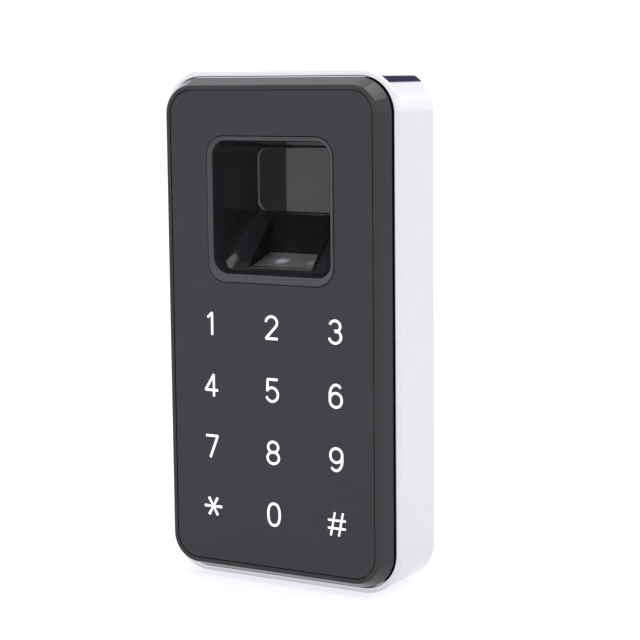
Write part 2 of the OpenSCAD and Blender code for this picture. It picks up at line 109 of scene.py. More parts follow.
def rounded_path(corners: Sequence[Corner], closed: bool, steps: int = 6) -> list[Point]:
    """Turns corners with fillets into a run of points.

    Args:
        corners: the corners, in order.
        closed: whether the last corner leads back to the first.
        steps: how many pieces each fillet's arc has.

    Returns:
        The points of the path, arcs included.
    """
    path: list[Point] = []
    count = len(corners)
    for index, corner in enumerate(corners):
        here = Vector((corner.a, corner.b))
        at_end = not closed and index in (0, count - 1)
        if corner.fillet <= 0 or at_end:
            path.append((here.x, here.y))
            continue
        before = corners[index - 1]
        after = corners[(index + 1) % count]
        back = (Vector((before.a, before.b)) - here).normalized()
        ahead = (Vector((after.a, after.b)) - here).normalized()
        half = back.angle(ahead) / 2
        centre = here + (back + ahead).normalized() * (corner.fillet / math.sin(half))
        reach = corner.fillet / math.tan(half)
        first = here + back * reach - centre
        last = here + ahead * reach - centre
        sweep = math.pi - 2 * half
        turn = 1 if first.x * last.y - first.y * last.x > 0 else -1
        for step in range(steps + 1):
            angle = turn * sweep * step / steps
            spun = Matrix.Rotation(angle, 2) @ first
            path.append((centre.x + spun.x, centre.y + spun.y))
    return path


def circle(radius: float, steps: int) -> list[Point]:
    """Points round a circle about the origin."""
    turns = (2 * math.pi * k / steps for k in range(steps))
    return [(radius * math.cos(t), radius * math.sin(t)) for t in turns]


def corner_arcs(arcs: Iterable[tuple[float, float, float]], steps: int) -> list[Point]:
    """Four quarter arcs that make one closed run.

    Args:
        arcs: each arc's centre in X and Z and its radius, anticlockwise from the upper right.
        steps: how many pieces each arc has.

    Returns:
        The points, as X and Z.
    """
    points: list[Point] = []
    for quarter, (x, z, radius) in enumerate(arcs):
        for step in range(steps + 1):
            angle = math.radians(90 * (quarter + step / steps))
            points.append((x + radius * math.cos(angle), z + radius * math.sin(angle)))
    return points


def both_sides(x: float, heights: Sequence[float]) -> list[Point]:
    """Places at the left and at the right, at each of some heights."""
    return [(side * x, z) for side in SIDES for z in heights]


@dataclass(frozen=True)
class Outline:
    """A rounded rectangle that keeps its corner centres while its radius changes."""

    corner_x: float
    corner_z: float
    centre_z: float = 0.0
    steps: int = 20

    def loop(self, radius: float) -> list[Point]:
        """The outline's points, as X and Z, at a radius around its corner centres."""
        arcs = ((side * self.corner_x, self.centre_z + end * self.corner_z, radius)
                for side, end in CORNERS)
        return corner_arcs(arcs, self.steps)

    def ring(self, radius: float, depth: float) -> list[Vector]:
        """The outline as a ring of points at one depth."""
        return [place(x, depth, z) for x, z in self.loop(radius)]


# ---- solids ----


def add_object(name: str, data: bpy.types.ID) -> bpy.types.Object:
    """Adds an object with its data to the scene."""
    item = bpy.data.objects.new(name, data)
    bpy.context.scene.collection.objects.link(item)
    return item


def dress(item: bpy.types.Object, finish: "Finish") -> None:
    """Gives an object one finish, in place of what it had."""
    item.data.materials.clear()
    item.data.materials.append(finish.material())


class Cut(Enum):
    """How one solid acts on another."""

    JOIN = "UNION"
    REMOVE = "DIFFERENCE"


class Solid:
    """A closed mesh that can be joined with other solids and cut by them."""

    def __init__(self, points: Iterable[Vector], faces: Iterable[Sequence[int]]) -> None:
        """Makes the mesh with its faces turned outwards.

        Args:
            points: the mesh's points, in metres.
            faces: each face's point numbers.
        """
        mesh = bpy.data.meshes.new("solid")
        mesh.from_pydata([tuple(p) for p in points], [], [tuple(f) for f in faces])
        work = bmesh.new()
        work.from_mesh(mesh)
        bmesh.ops.remove_doubles(work, verts=work.verts, dist=SAME_POINT)
        bmesh.ops.recalc_face_normals(work, faces=work.faces)
        work.to_mesh(mesh)
        work.free()
        self.mesh = mesh

    @classmethod
    def from_rings(cls, rings: Sequence[Sequence[Vector]], closed: bool = False) -> "Solid":
        """Skins a run of rings that have the same number of points.

        Args:
            rings: the rings, in order.
            closed: whether the last ring leads back to the first; if not, both ends are capped.

        Returns:
            The solid.
        """
        width = len(rings[0])
        points = [p for ring in rings for p in ring]
        faces: list[Sequence[int]] = []
        pairs = len(rings) if closed else len(rings) - 1
        for row in range(pairs):
            low, high = row * width, ((row + 1) % len(rings)) * width
            for k in range(width):
                n = (k + 1) % width
                faces.append((low + k, low + n, high + n, high + k))
        if not closed:
            faces.append(list(range(width)))
            faces.append(list(range(len(points) - width, len(points))))
        return cls(points, faces)

    @classmethod
    def swept(cls, outline: Outline, corners: Sequence[Corner], closed: bool = True,
              steps: int = 6) -> "Solid":
        """Carries a profile of radius and depth round an outline."""
        path = rounded_path(corners, closed, steps)
        return cls.from_rings([outline.ring(r, d) for r, d in path], closed)

    @classmethod
    def turned(cls, x: float, z: float, corners: Sequence[Corner], closed: bool = False,
               steps: int = 48) -> "Solid":
        """Turns a profile of radius and depth about a line along Y."""
        rings = [[place(x + a, depth, z + b) for a, b in circle(radius, steps)]
                 for radius, depth in rounded_path(corners, closed, 4)]
        return cls.from_rings(rings, closed)

    @classmethod
    def bar(cls, x: float, z: float, radius: float, from_d: float, to_d: float) -> "Solid":
        """A round bar along Y between two depths."""
        return cls.turned(x, z, (Corner(radius, from_d), Corner(radius, to_d)))

    @classmethod
    def bars(cls, places: Iterable[Point], radius: float, from_d: float,
             to_d: float) -> list["Solid"]:
        """Equal round bars at several places, each given by its X and Z."""
        return [cls.bar(x, z, radius, from_d, to_d) for x, z in places]

    @classmethod
    def block(cls, x: float, z: float, w: float, h: float, from_d: float, to_d: float) -> "Solid":
        """A block given by its centre in X and Z, its size, and two depths."""
        rings = [[place(x + side * w / 2, depth, z + end * h / 2) for side, end in CORNERS]
                 for depth in (from_d, to_d)]
        return cls.from_rings(rings)

    @classmethod
    def along_x(cls, side_view: Sequence[Point], from_x: float, to_x: float) -> "Solid":
        """Extrudes a side view, drawn as depth and Z, between two X values."""
        rings = [[place(x, depth, z) for depth, z in side_view] for x in (from_x, to_x)]
        return cls.from_rings(rings)

    def moved(self, matrix: Matrix) -> "Solid":
        """Moves the solid by a matrix, and returns it."""
        self.mesh.transform(matrix)
        return self

    def _combined(self, other: "Solid", cut: Cut) -> None:
        """Joins or cuts with another solid, which is used up."""
        mine = add_object("mine", self.mesh)
        theirs = add_object("theirs", other.mesh)
        change = mine.modifiers.new("change", "BOOLEAN")
        change.operation = cut.value
        change.solver = "MANIFOLD"
        change.object = theirs
        graph = bpy.context.evaluated_depsgraph_get()
        self.mesh = bpy.data.meshes.new_from_object(mine.evaluated_get(graph))
        for item in (mine, theirs):
            bpy.data.objects.remove(item)

    def join(self, *others: "Solid") -> "Solid":
        """Adds other solids to this one, and returns it."""
        for other in others:
            self._combined(other, Cut.JOIN)
        return self

    def cut(self, *others: "Solid") -> "Solid":
        """Cuts other solids out of this one, and returns it."""
        for other in others:
            self._combined(other, Cut.REMOVE)
        return self

    def piece(self, name: str, finish: "Finish", slot: str, edge: float = 0.0,
              body: str = TERMINAL, stands_for: Sequence[str] = (), sharp_deg: float = 32,
              tidy: bool = True) -> bpy.types.Object:
        """Makes the solid a finished piece of the terminal.

        Args:
            name: the piece's name.
            finish: what it is finished in.
            slot: the record's material slot; not used.
            edge: radius that its sharp edges are rounded to.
            body: the body it rides on.
            stands_for: the model's nodes that it replaces.
            sharp_deg: the angle above which an edge counts as sharp.
            tidy: whether flat faces are merged first.

        Returns:
            The piece's object.
        """
        work = bmesh.new()
        work.from_mesh(self.mesh)
        if tidy:
            bmesh.ops.dissolve_limit(work, angle_limit=math.radians(FLAT_DEG), verts=work.verts,
                                     edges=work.edges, delimit={"NORMAL"})
        bmesh.ops.remove_doubles(work, verts=work.verts, dist=2 * SAME_POINT)
        work.to_mesh(self.mesh)
        work.free()
        self.mesh.shade_smooth()
        self.mesh.name = name
        item = add_object(name, self.mesh)
        if edge:
            round_edges(item, edge, sharp_deg)
        else:
            self.mesh.set_sharp_from_angle(angle=math.radians(sharp_deg))
        even = item.modifiers.new("even_shading", "WEIGHTED_NORMAL")
        even.keep_sharp = True
        dress(item, finish)
        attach(item, body)
        if stands_for:
            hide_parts(*stands_for)
        log.info("%s: %d faces, finished in %s", name, len(self.mesh.polygons), finish.name)
        return item


def round_edges(item: bpy.types.Object, radius: float, sharp_deg: float = 32) -> None:
    """Rounds the sharp edges of an object.

    Args:
        item: the object.
        radius: the rounding's radius in millimetres.
        sharp_deg: the angle above which an edge is sharp.
    """
    soft = item.modifiers.new("soft_edges", "BEVEL")
    soft.width = radius * MM
    soft.segments = 3
    soft.limit_method = "ANGLE"
    soft.angle_limit = math.radians(sharp_deg)
    soft.use_clamp_overlap = True
    soft.harden_normals = False
    soft.miter_outer = "MITER_ARC"


# ---- finishes ----


def add_node(tree: bpy.types.NodeTree, kind: str, inputs: dict[str | int, Any] | None = None,
             **settings: str) -> bpy.types.Node:
    """Adds a node to a material or to the surround.

    Args:
        tree: the nodes it joins.
        kind: the node's type, without its "ShaderNode".
        inputs: its inputs' values; a value that is another node's output is linked.
        settings: its own settings.

    Returns:
        The node.
    """
    node = tree.nodes.new("ShaderNode" + kind)
    for name, setting in settings.items():
        setattr(node, name, setting)
    for key, value in (inputs or {}).items():
        if isinstance(value, bpy.types.NodeSocket):
            tree.links.new(value, node.inputs[key])
        else:
            node.inputs[key].default_value = value
    return node


def add_ramp(tree: bpy.types.NodeTree, value: bpy.types.NodeSocket,
             stops: Sequence[tuple[float, Colour]],
             interpolation: str = "LINEAR") -> bpy.types.NodeSocket:
    """Adds a colour ramp.

    Args:
        tree: the nodes it joins.
        value: what it reads.
        stops: each stop's position and colour, in order.
        interpolation: how it goes from one stop to the next.

    Returns:
        The ramp's colour.
    """
    ramp = add_node(tree, "ValToRGB", {"Fac": value})
    ramp.color_ramp.interpolation = interpolation
    elements = ramp.color_ramp.elements
    while len(elements) < len(stops):
        elements.new(0.5)
    for element, (position, colour) in zip(elements, stops):
        element.position = position
        element.color = (*colour, 1.0)
    return ramp.outputs["Color"]


def mix_colours(tree: bpy.types.NodeTree, share: bpy.types.NodeSocket, first: Any,
                second: Any) -> bpy.types.NodeSocket:
    """Mixes two colours, each a value or another node's output, by the second one's share."""
    return add_node(tree, "Mix", {0: share, 6: first, 7: second}, data_type="RGBA").outputs[2]


# Noise values mostly fall in this range, and a mottled colour's two shades stand at these.
NOISE_RANGE = (0.3, 0.7)
MOTTLE_STOPS = (0.35, 0.65)
# The size of a patch of colour, as a share of a patch of gloss.
MOTTLE_SHARE = 0.6


@dataclass(frozen=True)
class Finish:
    """A surface finish: its colour and gloss, with grain and uneven gloss at their real size."""

    name: str
    colour: Colour
    roughness: float = 0.4
    metallic: float = 0.0
    ior: float = 1.5
    coat: float = 0.0
    coat_roughness: float = 0.04
    grain: float = 0.3
    grain_depth: float = 0.002
    unevenness: float = 0.05
    patch: float = 12.0
    mottle: float = 0.12
    fuzz: float = 0.0

    def material(self) -> bpy.types.Material:
        """The finish's material, made once and then shared."""
        made = bpy.data.materials.get(self.name)
        if made is None:
            made = bpy.data.materials.new(self.name)
            made.use_nodes = True
            made.diffuse_color = (*self.colour, 1.0)
            self.build(made.node_tree)
        return made

    def build(self, tree: bpy.types.NodeTree) -> None:
        """Lays out the nodes: a shader with mottled colour, patchy gloss and a fine grain."""
        shader = self.shader(tree)
        if self.mottle > 0:
            self.add_mottle(tree, shader)
        if self.unevenness > 0:
            self.add_patchy_gloss(tree, shader)
        if self.grain_depth > 0:
            self.add_grain(tree, shader)

    def shader(self, tree: bpy.types.NodeTree) -> bpy.types.Node:
        """Sets the shader's own values."""
        shader = tree.nodes["Principled BSDF"]
        values = {"Base Color": (*self.colour, 1.0), "Roughness": self.roughness,
                  "Metallic": self.metallic, "IOR": self.ior, "Coat Weight": self.coat,
                  "Coat Roughness": self.coat_roughness, "Sheen Weight": self.fuzz}
        for name, value in values.items():
            shader.inputs[name].default_value = value
        return shader

    def noise(self, tree: bpy.types.NodeTree, size: float, detail: float = 3.0) -> bpy.types.Node:
        """A noise whose features are of a size in millimetres, fixed to the model."""
        where = add_node(tree, "TexCoord")
        return add_node(tree, "TexNoise", {"Vector": where.outputs["Object"],
                                           "Scale": 1 / (size * MM), "Detail": detail})

    def add_mottle(self, tree: bpy.types.NodeTree, shader: bpy.types.Node) -> None:
        """Lets the colour drift a little between a darker and a lighter shade."""
        noise = self.noise(tree, self.patch * MOTTLE_SHARE)
        shades = (1 - self.mottle, 1 + self.mottle)
        stops = [(position, tuple(min(1.0, c * shade) for c in self.colour))
                 for position, shade in zip(MOTTLE_STOPS, shades)]
        tree.links.new(add_ramp(tree, noise.outputs["Fac"], stops), shader.inputs["Base Color"])

    def add_patchy_gloss(self, tree: bpy.types.NodeTree, shader: bpy.types.Node) -> None:
        """Lets the roughness vary from patch to patch, as handling leaves it."""
        noise = self.noise(tree, self.patch)
        spread = add_node(tree, "MapRange", {
            "Value": noise.outputs["Fac"], "From Min": NOISE_RANGE[0], "From Max": NOISE_RANGE[1],
            "To Min": max(0.0, self.roughness - self.unevenness),
            "To Max": min(1.0, self.roughness + self.unevenness)})
        tree.links.new(spread.outputs["Result"], shader.inputs["Roughness"])

    def add_grain(self, tree: bpy.types.NodeTree, shader: bpy.types.Node) -> None:
        """Raises a fine grain."""
        noise = self.noise(tree, self.grain, 2.0)
        bump = add_node(tree, "Bump", {"Height": noise.outputs["Fac"], "Strength": 1.0,
                                       "Distance": self.grain_depth * MM})
        tree.links.new(bump.outputs["Normal"], shader.inputs["Normal"])


@dataclass(frozen=True)
class ClearGlass(Finish):
    """Polished optical glass."""

    def shader(self, tree: bpy.types.NodeTree) -> bpy.types.Node:
        """Sets the shader's own values, with full transmission."""
        shader = super().shader(tree)
        shader.inputs["Transmission Weight"].default_value = 1.0
        return shader


@dataclass(frozen=True)
class Glow(Finish):
    """A finish that gives off some light of its own."""

    glow: float = 0.5

    def shader(self, tree: bpy.types.NodeTree) -> bpy.types.Node:
        """Sets the shader's own values, with its glow."""
        shader = super().shader(tree)
        shader.inputs["Emission Color"].default_value = (*self.colour, 1.0)
        shader.inputs["Emission Strength"].default_value = self.glow
        return shader


@dataclass(frozen=True)
class PaintedGlowPad(Glow):
    """A pale pad whose glow is painted light: pools of light painted over each LED, and painted shade
    that fades it towards one side.
    """

    painted_pools: tuple[tuple[float, float, float, float], ...] = ()
    painted_shade_glow: float = 0.02
    fade_from: float = -8.5
    fade_to: float = -4.0

    def shader(self, tree: bpy.types.NodeTree) -> bpy.types.Node:
        """Sets the shader's own values and paints the light on the pad: pools of light, and shade fading
        it towards one side.
        """
        shader = super().shader(tree)
        where = add_node(tree, "TexCoord")
        split = add_node(tree, "SeparateXYZ", {"Vector": where.outputs["Object"]})
        # Painted shade: the pad's glow falls to almost nothing towards -X.
        fade = add_node(tree, "MapRange", {
            "Value": split.outputs["X"], "From Min": self.fade_from * MM,
            "From Max": self.fade_to * MM, "To Min": self.painted_shade_glow, "To Max": self.glow},
            interpolation_type="SMOOTHSTEP")
        total = fade.outputs["Result"]
        # Painted light: a pool of light is painted where each LED's light would fall.
        for x, depth, reach, power in self.painted_pools:
            total = self.add_painted_pool(tree, where, total, place(x, depth, 0), reach, power)
        tree.links.new(total, shader.inputs["Emission Strength"])
        return shader

    def add_painted_pool(self, tree: bpy.types.NodeTree, where: bpy.types.Node,
                 total: bpy.types.NodeSocket, centre: Vector, reach: float,
                 power: float) -> bpy.types.NodeSocket:
        """Adds one painted pool of light to what the others give.

        Args:
            tree: the material's nodes.
            where: the node that gives places on the model.
            total: the glow so far.
            centre: the middle of the painted pool.
            reach: the pool's radius in millimetres.
            power: how much the pool adds at its centre.

        Returns:
            The glow with this painted pool added.
        """
        flat = add_node(tree, "VectorMath", {0: where.outputs["Object"], 1: (1.0, 1.0, 0.0)},
                        operation="MULTIPLY")
        away = add_node(tree, "VectorMath", {0: flat.outputs["Vector"], 1: (centre.x, centre.y, 0.0)},
                        operation="DISTANCE")
        pool = add_node(tree, "MapRange", {
            "Value": away.outputs["Value"], "From Min": 0.0, "From Max": reach * MM,
            "To Min": power, "To Max": 0.0}, interpolation_type="SMOOTHERSTEP")
        both = add_node(tree, "Math", {0: total, 1: pool.outputs["Result"]}, operation="ADD")
        return both.outputs["Value"]


@dataclass(frozen=True)
class CircuitBoard(Finish):
    """Solder mask over copper tracks, which show through it as paler lines."""

    track: Colour = (0.09, 0.24, 0.10)
    pitch: float = 1.6
    track_from: float = 0.42
    track_to: float = 0.52

    def add_mottle(self, tree: bpy.types.NodeTree, shader: bpy.types.Node) -> None:
        """Draws the tracks in the mask's colour."""
        where = add_node(tree, "TexCoord")
        cells = add_node(tree, "TexVoronoi", {
            "Vector": where.outputs["Object"], "Scale": 1 / (self.pitch * 2 * MM),
            "Randomness": 0.6}, distance="CHEBYCHEV")
        stops = ((0.0, self.colour), (self.track_from, self.track), (self.track_to, self.colour))
        lines = add_ramp(tree, cells.outputs["Distance"], stops, "CONSTANT")
        tree.links.new(lines, shader.inputs["Base Color"])


CHROME = Finish("bright_chrome", (0.665, 0.66, 0.665), 0.035, 1.0, grain=4.0, grain_depth=0.0006,
                unevenness=0.02, mottle=0.01)
BEZEL_BLACK = Finish("gloss_black_moulding", (0.006, 0.006, 0.007), 0.10, grain=1.2,
                     grain_depth=0.0008, unevenness=0.04)
PANEL_BLACK = Finish("black_backed_glass", (0.0065, 0.006, 0.009), 0.09, grain=6.0,
                     grain_depth=0.0006, unevenness=0.03)
POCKET_BLACK = Finish("gloss_black_pocket", (0.017, 0.0165, 0.019), 0.06, ior=1.58, grain=2.5,
                      grain_depth=0.0006, unevenness=0.03)
FRAME_BLACK = Finish("satin_black_frame", (0.012, 0.012, 0.013), 0.16, grain=0.5)
INNER_BLACK = Finish("matt_black_moulding", (0.012, 0.012, 0.012), 0.55, grain=0.4, grain_depth=0.006)
SHADE_BLACK = Finish("black_optical_paint", (0.03, 0.029, 0.033), 0.9, ior=1.05)
INK_WHITE = Glow("white_legend_ink", (0.93, 0.93, 0.95), 0.35, mottle=0.01, glow=0.16)
PRISM_GLASS = ClearGlass("polished_prism", (1.0, 1.0, 1.0), 0.0, ior=1.52, grain_depth=0.0,
                         unevenness=0.0, mottle=0.0)
# Painted light: the pad's glow, with pools of light painted over the LEDs and painted shade towards one
# side.
DIFFUSER_PAINTED_GLOW = PaintedGlowPad("diffuser_painted_glow", (0.17, 0.173, 0.18), 0.6, glow=0.25,
                  painted_pools=((-2.2, 11.3, 3.2, 1.3), (7.0, 11.0, 2.6, 0.5)))
RUBBER = Finish("black_rubber", (0.02, 0.02, 0.021), 0.7, grain=0.35, grain_depth=0.01, fuzz=0.1)
POWDER_COAT = Finish("black_powder_coat", (0.018, 0.018, 0.019), 0.48, grain=0.45,
                     grain_depth=0.03, unevenness=0.08)
SCREW_STEEL = Finish("zinc_plated_steel", (0.60, 0.60, 0.58), 0.26, 1.0, grain=0.3,
                     grain_depth=0.004, unevenness=0.1, mottle=0.06)
DARK_STEEL = Finish("blackened_steel", (0.10, 0.10, 0.105), 0.34, 1.0, grain=0.3,
                    grain_depth=0.004, unevenness=0.1, mottle=0.1)
BRASS = Finish("machined_brass", (0.78, 0.57, 0.27), 0.22, 1.0, grain=0.3, grain_depth=0.003,
               unevenness=0.08, mottle=0.05)
BUTTON_RED = Finish("red_plastic", (0.50, 0.02, 0.015), 0.35)
TAPE = Finish("foam_tape", (0.55, 0.55, 0.54), 0.8, grain=0.5, grain_depth=0.02)
BOARD_GREEN = CircuitBoard("green_circuit_board", (0.012, 0.085, 0.032), 0.3, coat=0.3)
CHIP_BLACK = Finish("chip_moulding", (0.02, 0.02, 0.021), 0.55, grain=0.2, grain_depth=0.004)
SENSOR_CHIP = Finish("sensor_silicon", (0.10, 0.11, 0.14), 0.18, coat=0.6)
LAMP_WHITE = Glow("lamp_phosphor", (0.90, 0.88, 0.62), 0.4, glow=0.2)
RIBBON_AMBER = Finish("amber_ribbon", (0.62, 0.27, 0.04), 0.35, coat=0.3)
RIBBON_WHITE = Finish("white_ribbon", (0.78, 0.78, 0.76), 0.5)
SOCKET_IVORY = Finish("ivory_nylon", (0.76, 0.70, 0.55), 0.45)
CAN_STEEL = Finish("crystal_can", (0.64, 0.64, 0.64), 0.2, 1.0, mottle=0.03)
CAN_ALUMINIUM = Finish("aluminium_can", (0.75, 0.75, 0.76), 0.3, 1.0, mottle=0.03)
FERRITE = Finish("ferrite_core", (0.06, 0.055, 0.055), 0.6, grain=0.3, grain_depth=0.01)
RELAY_BLUE = Finish("blue_relay_case", (0.03, 0.10, 0.42), 0.35)


# ---- the body ----


@dataclass
class Body:
    """The chromed housing and the four corner centres that every outline shares."""

    corner_x: float = 23.6
    corner_z: float = 55.1
    corner_r: float = 10.9
    opening_r: float = 9.3
    ledge_r: float = 6.6
    cavity_r: float = 8.9
    plate_recess_r: float = 9.95
    ledge_d: float = 8.4
    ledge_back_d: float = 9.8
    seal_d: float = 21.7
    plate_d: float = 22.2
    front_edge: float = 0.75
    rear_edge: float = 0.6
    rear_boss_x: float = 29.6
    rear_boss_z: tuple[float, ...] = (-44.0, 0.0, 44.0)
    rear_boss_r: float = 3.4
    pilot_r: float = 1.25
    bezel_boss_r: float = 3.6
    bezel_screw_x: float = 26.3
    bezel_screw_z: float = 57.8
    rim_fillet: float = 0.3
    recess_fillet: float = 0.12
    ledge_fillet: float = 0.4
    rear_boss_step: float = 0.8
    screw_gap: float = 0.25
    rear_pilot_length: float = 9.0

    @property
    def outline(self) -> Outline:
        """The outline around the body's corner centres."""
        return Outline(self.corner_x, self.corner_z, steps=28)

    @property
    def rim_d(self) -> float:
        """Depth of the chromed rim's front."""
        return depth_of(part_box("housing")[0].y)

    def at_rear_screws(self) -> list[Point]:
        """X and Z of the rear screws."""
        return both_sides(self.rear_boss_x, self.rear_boss_z)

    def at_bezel_screws(self) -> list[Point]:
        """X and Z of the screws that hold the bezel."""
        return both_sides(self.bezel_screw_x, (-self.bezel_screw_z, self.bezel_screw_z))

    def build(self) -> None:
        """Makes the chromed housing: a rounded rim, plain sides, the inner ledge and the bosses."""
        wall = Solid.swept(self.outline, (
            Corner(self.opening_r, self.rim_d, self.rim_fillet),
            Corner(self.corner_r, self.rim_d, self.front_edge),
            Corner(self.corner_r, BODY_D, self.rear_edge),
            Corner(self.plate_recess_r, BODY_D, self.recess_fillet),
            Corner(self.plate_recess_r, self.seal_d),
            Corner(self.cavity_r, self.seal_d),
            Corner(self.cavity_r, self.ledge_back_d, self.ledge_fillet),
            Corner(self.ledge_r, self.ledge_back_d),
            Corner(self.ledge_r, self.ledge_d),
            Corner(self.opening_r, self.ledge_d),
        ))
        wall.join(*Solid.bars(self.at_bezel_screws(), self.bezel_boss_r, self.ledge_d,
                              self.ledge_back_d))
        tip_r = self.rear_boss_r - self.rear_boss_step
        for x, z in self.at_rear_screws():
            wall.join(Solid.turned(x, z, (
                Corner(self.rear_boss_r, self.ledge_d), Corner(self.rear_boss_r, self.seal_d),
                Corner(tip_r, self.seal_d), Corner(tip_r, self.plate_d))))
        wall.cut(*Solid.bars(self.at_bezel_screws(), self.pilot_r + self.screw_gap,
                             self.ledge_d - PAST, self.ledge_back_d + PAST))
        wall.cut(*Solid.bars(self.at_rear_screws(), self.pilot_r,
                             self.plate_d - self.rear_pilot_length, self.plate_d + PAST))
        wall.piece("housing_shell", CHROME, "chrome", stands_for=["housing"], sharp_deg=26)


class Bosses(NamedTuple):
    """Bosses of one kind: where they stand, their size, and the pilot hole in each."""

    places: list[Point]
    radius: float
    end_d: float
    pilot_r: float
    pilot_length: float


@dataclass
class Front:
    """The black bezel, the touch panel that it frames and the panel's printed legends."""

    body: Body
    ring_r: float = 7.2
    bezel_r: float = 9.1
    slant_d: float = 4.1
    recess_r: float = 6.1
    recess_d: float = 1.5
    web_d: float = 3.0
    back_d: float = 7.9
    panel_r: float = 5.9
    window: Outline = Outline(13.5, 13.6, 30.95, 16)
    window_r: float = 5.0
    window_gap: float = 0.15
    board_boss_x: float = 25.4
    board_boss_z: tuple[float, ...] = (-51.0, -12.0)
    board_boss_r: float = 2.4
    pocket_ear_x: float = 21.4
    pocket_ear_z: tuple[float, ...] = (19.95, 41.95)
    pocket_ear_d: float = 6.0
    small_pilot_r: float = 0.85
    recess_fillet: float = 0.12
    ring_fillet: float = 0.55
    slant_fillet: float = 1.0
    back_fillet: float = 0.2
    wall_inset: float = 0.2
    web_fillet: float = 0.4
    web_reach: float = 2.0
    web_overlap: float = 1.0
    seat_fillet: float = 0.1
    bezel_pilot_length: float = 5.0
    board_pilot_length: float = 6.0
    ear_pilot_length: float = 4.0
    keypad_gap_x: float = 0.2
    keypad_gap_z: float = 0.25
    keypad_corner_r: float = 2.0
    panel_edge: float = 0.16

    def build(self) -> None:
        """Makes the bezel and the touch panel."""
        self.build_bezel()
        self.build_panel()

    def build_bezel(self) -> None:
        """Makes the moulding: a flat ring, slanted sides, the recess and the web behind the panel."""
        outline = self.body.outline
        wall_r = self.ring_r - self.wall_inset
        ledge_r = self.recess_r - self.web_reach
        web_r = self.recess_r - self.web_overlap
        ring = Solid.swept(outline, (
            Corner(self.recess_r, 0.0, self.recess_fillet),
            Corner(self.ring_r, 0.0, self.ring_fillet),
            Corner(self.bezel_r, self.slant_d, self.slant_fillet),
            Corner(self.bezel_r, self.back_d, self.back_fillet),
            Corner(wall_r, self.back_d, self.back_fillet),
            Corner(wall_r, self.web_d, self.web_fillet),
            Corner(ledge_r, self.web_d),
            Corner(ledge_r, self.recess_d),
            Corner(self.recess_r, self.recess_d, self.seat_fillet),
        ))
        web = Solid.from_rings([outline.ring(web_r, depth) for depth in (self.recess_d, self.web_d)])
        web.cut(self.window_cutter(self.recess_d - PAST, self.web_d + PAST), self.keypad_cutter())
        ring.join(web)
        body = self.body
        board_d = depth_of(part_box("main_board")[0].y)
        kinds = (
            Bosses(body.at_bezel_screws(), body.bezel_boss_r, body.ledge_d, body.pilot_r,
                   self.bezel_pilot_length),
            Bosses(both_sides(self.board_boss_x, self.board_boss_z), self.board_boss_r, board_d,
                   self.small_pilot_r, self.board_pilot_length),
            Bosses(both_sides(self.pocket_ear_x, self.pocket_ear_z), self.board_boss_r,
                   self.pocket_ear_d, self.small_pilot_r, self.ear_pilot_length),
        )
        for kind in kinds:
            ring.join(*Solid.bars(kind.places, kind.radius, self.recess_d, kind.end_d))
        for kind in kinds:
            ring.cut(*Solid.bars(kind.places, kind.pilot_r, kind.end_d - kind.pilot_length,
                                 kind.end_d + PAST))
        ring.piece("bezel_moulding", BEZEL_BLACK, "bezel_black", stands_for=["front_bezel"],
                   sharp_deg=26)

    def window_cutter(self, from_d: float, to_d: float) -> Solid:
        """The window's opening between two depths."""
        radius = self.window_r + self.window_gap
        return Solid.from_rings([self.window.ring(radius, from_d), self.window.ring(radius, to_d)])

    def keypad_cutter(self) -> Solid:
        """The opening in the web that the keypad's board sits in."""
        low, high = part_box("keypad_board")
        half_w = high.x / MM + self.keypad_gap_x
        half_h = (high.z - low.z) / MM / 2 + self.keypad_gap_z
        corner_r = self.keypad_corner_r
        opening = Outline(half_w - corner_r, half_h - corner_r, (high.z + low.z) / MM / 2, 8)
        return Solid.from_rings([opening.ring(corner_r, self.recess_d - PAST),
                                 opening.ring(corner_r, self.web_d + PAST)])

    def build_panel(self) -> None:
        """Makes the glass panel, with the pocket's window cut through it."""
        low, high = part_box("touch_panel")
        front_d, back_d = depth_of(low.y), depth_of(high.y)
        outline = self.body.outline
        glass = Solid.from_rings([outline.ring(self.panel_r, front_d),
                                  outline.ring(self.panel_r, back_d)])
        glass.cut(self.window_cutter(front_d - PAST, back_d + PAST))
        glass.piece("panel_glass", PANEL_BLACK, "panel_black", edge=self.panel_edge,
                    stands_for=["touch_panel"])


# ---- the legends ----


# Width of the pen that most legends are drawn with, in millimetres.
PEN = 0.68


def arc(x: float, z: float, rx: float, rz: float, from_deg: float, to_deg: float,
        steps: int = 20) -> list[Point]:
    """Points on an ellipse about a centre, between two angles."""
    angles = (math.radians(from_deg + (to_deg - from_deg) * k / steps) for k in range(steps + 1))
    return [(x + rx * math.cos(a), z + rz * math.sin(a)) for a in angles]


def oval(x: float, z: float, rx: float, rz: float, squareness: float = 2.0,
         steps: int = 56) -> list[Point]:
    """A closed oval, squarer than an ellipse when squareness is above 2."""
    power = 2 / squareness
    points: list[Point] = []
    for k in range(steps):
        turn = 2 * math.pi * k / steps
        c, s = math.cos(turn), math.sin(turn)
        points.append((x + rx * math.copysign(abs(c) ** power, c),
                       z + rz * math.copysign(abs(s) ** power, s)))
    return points


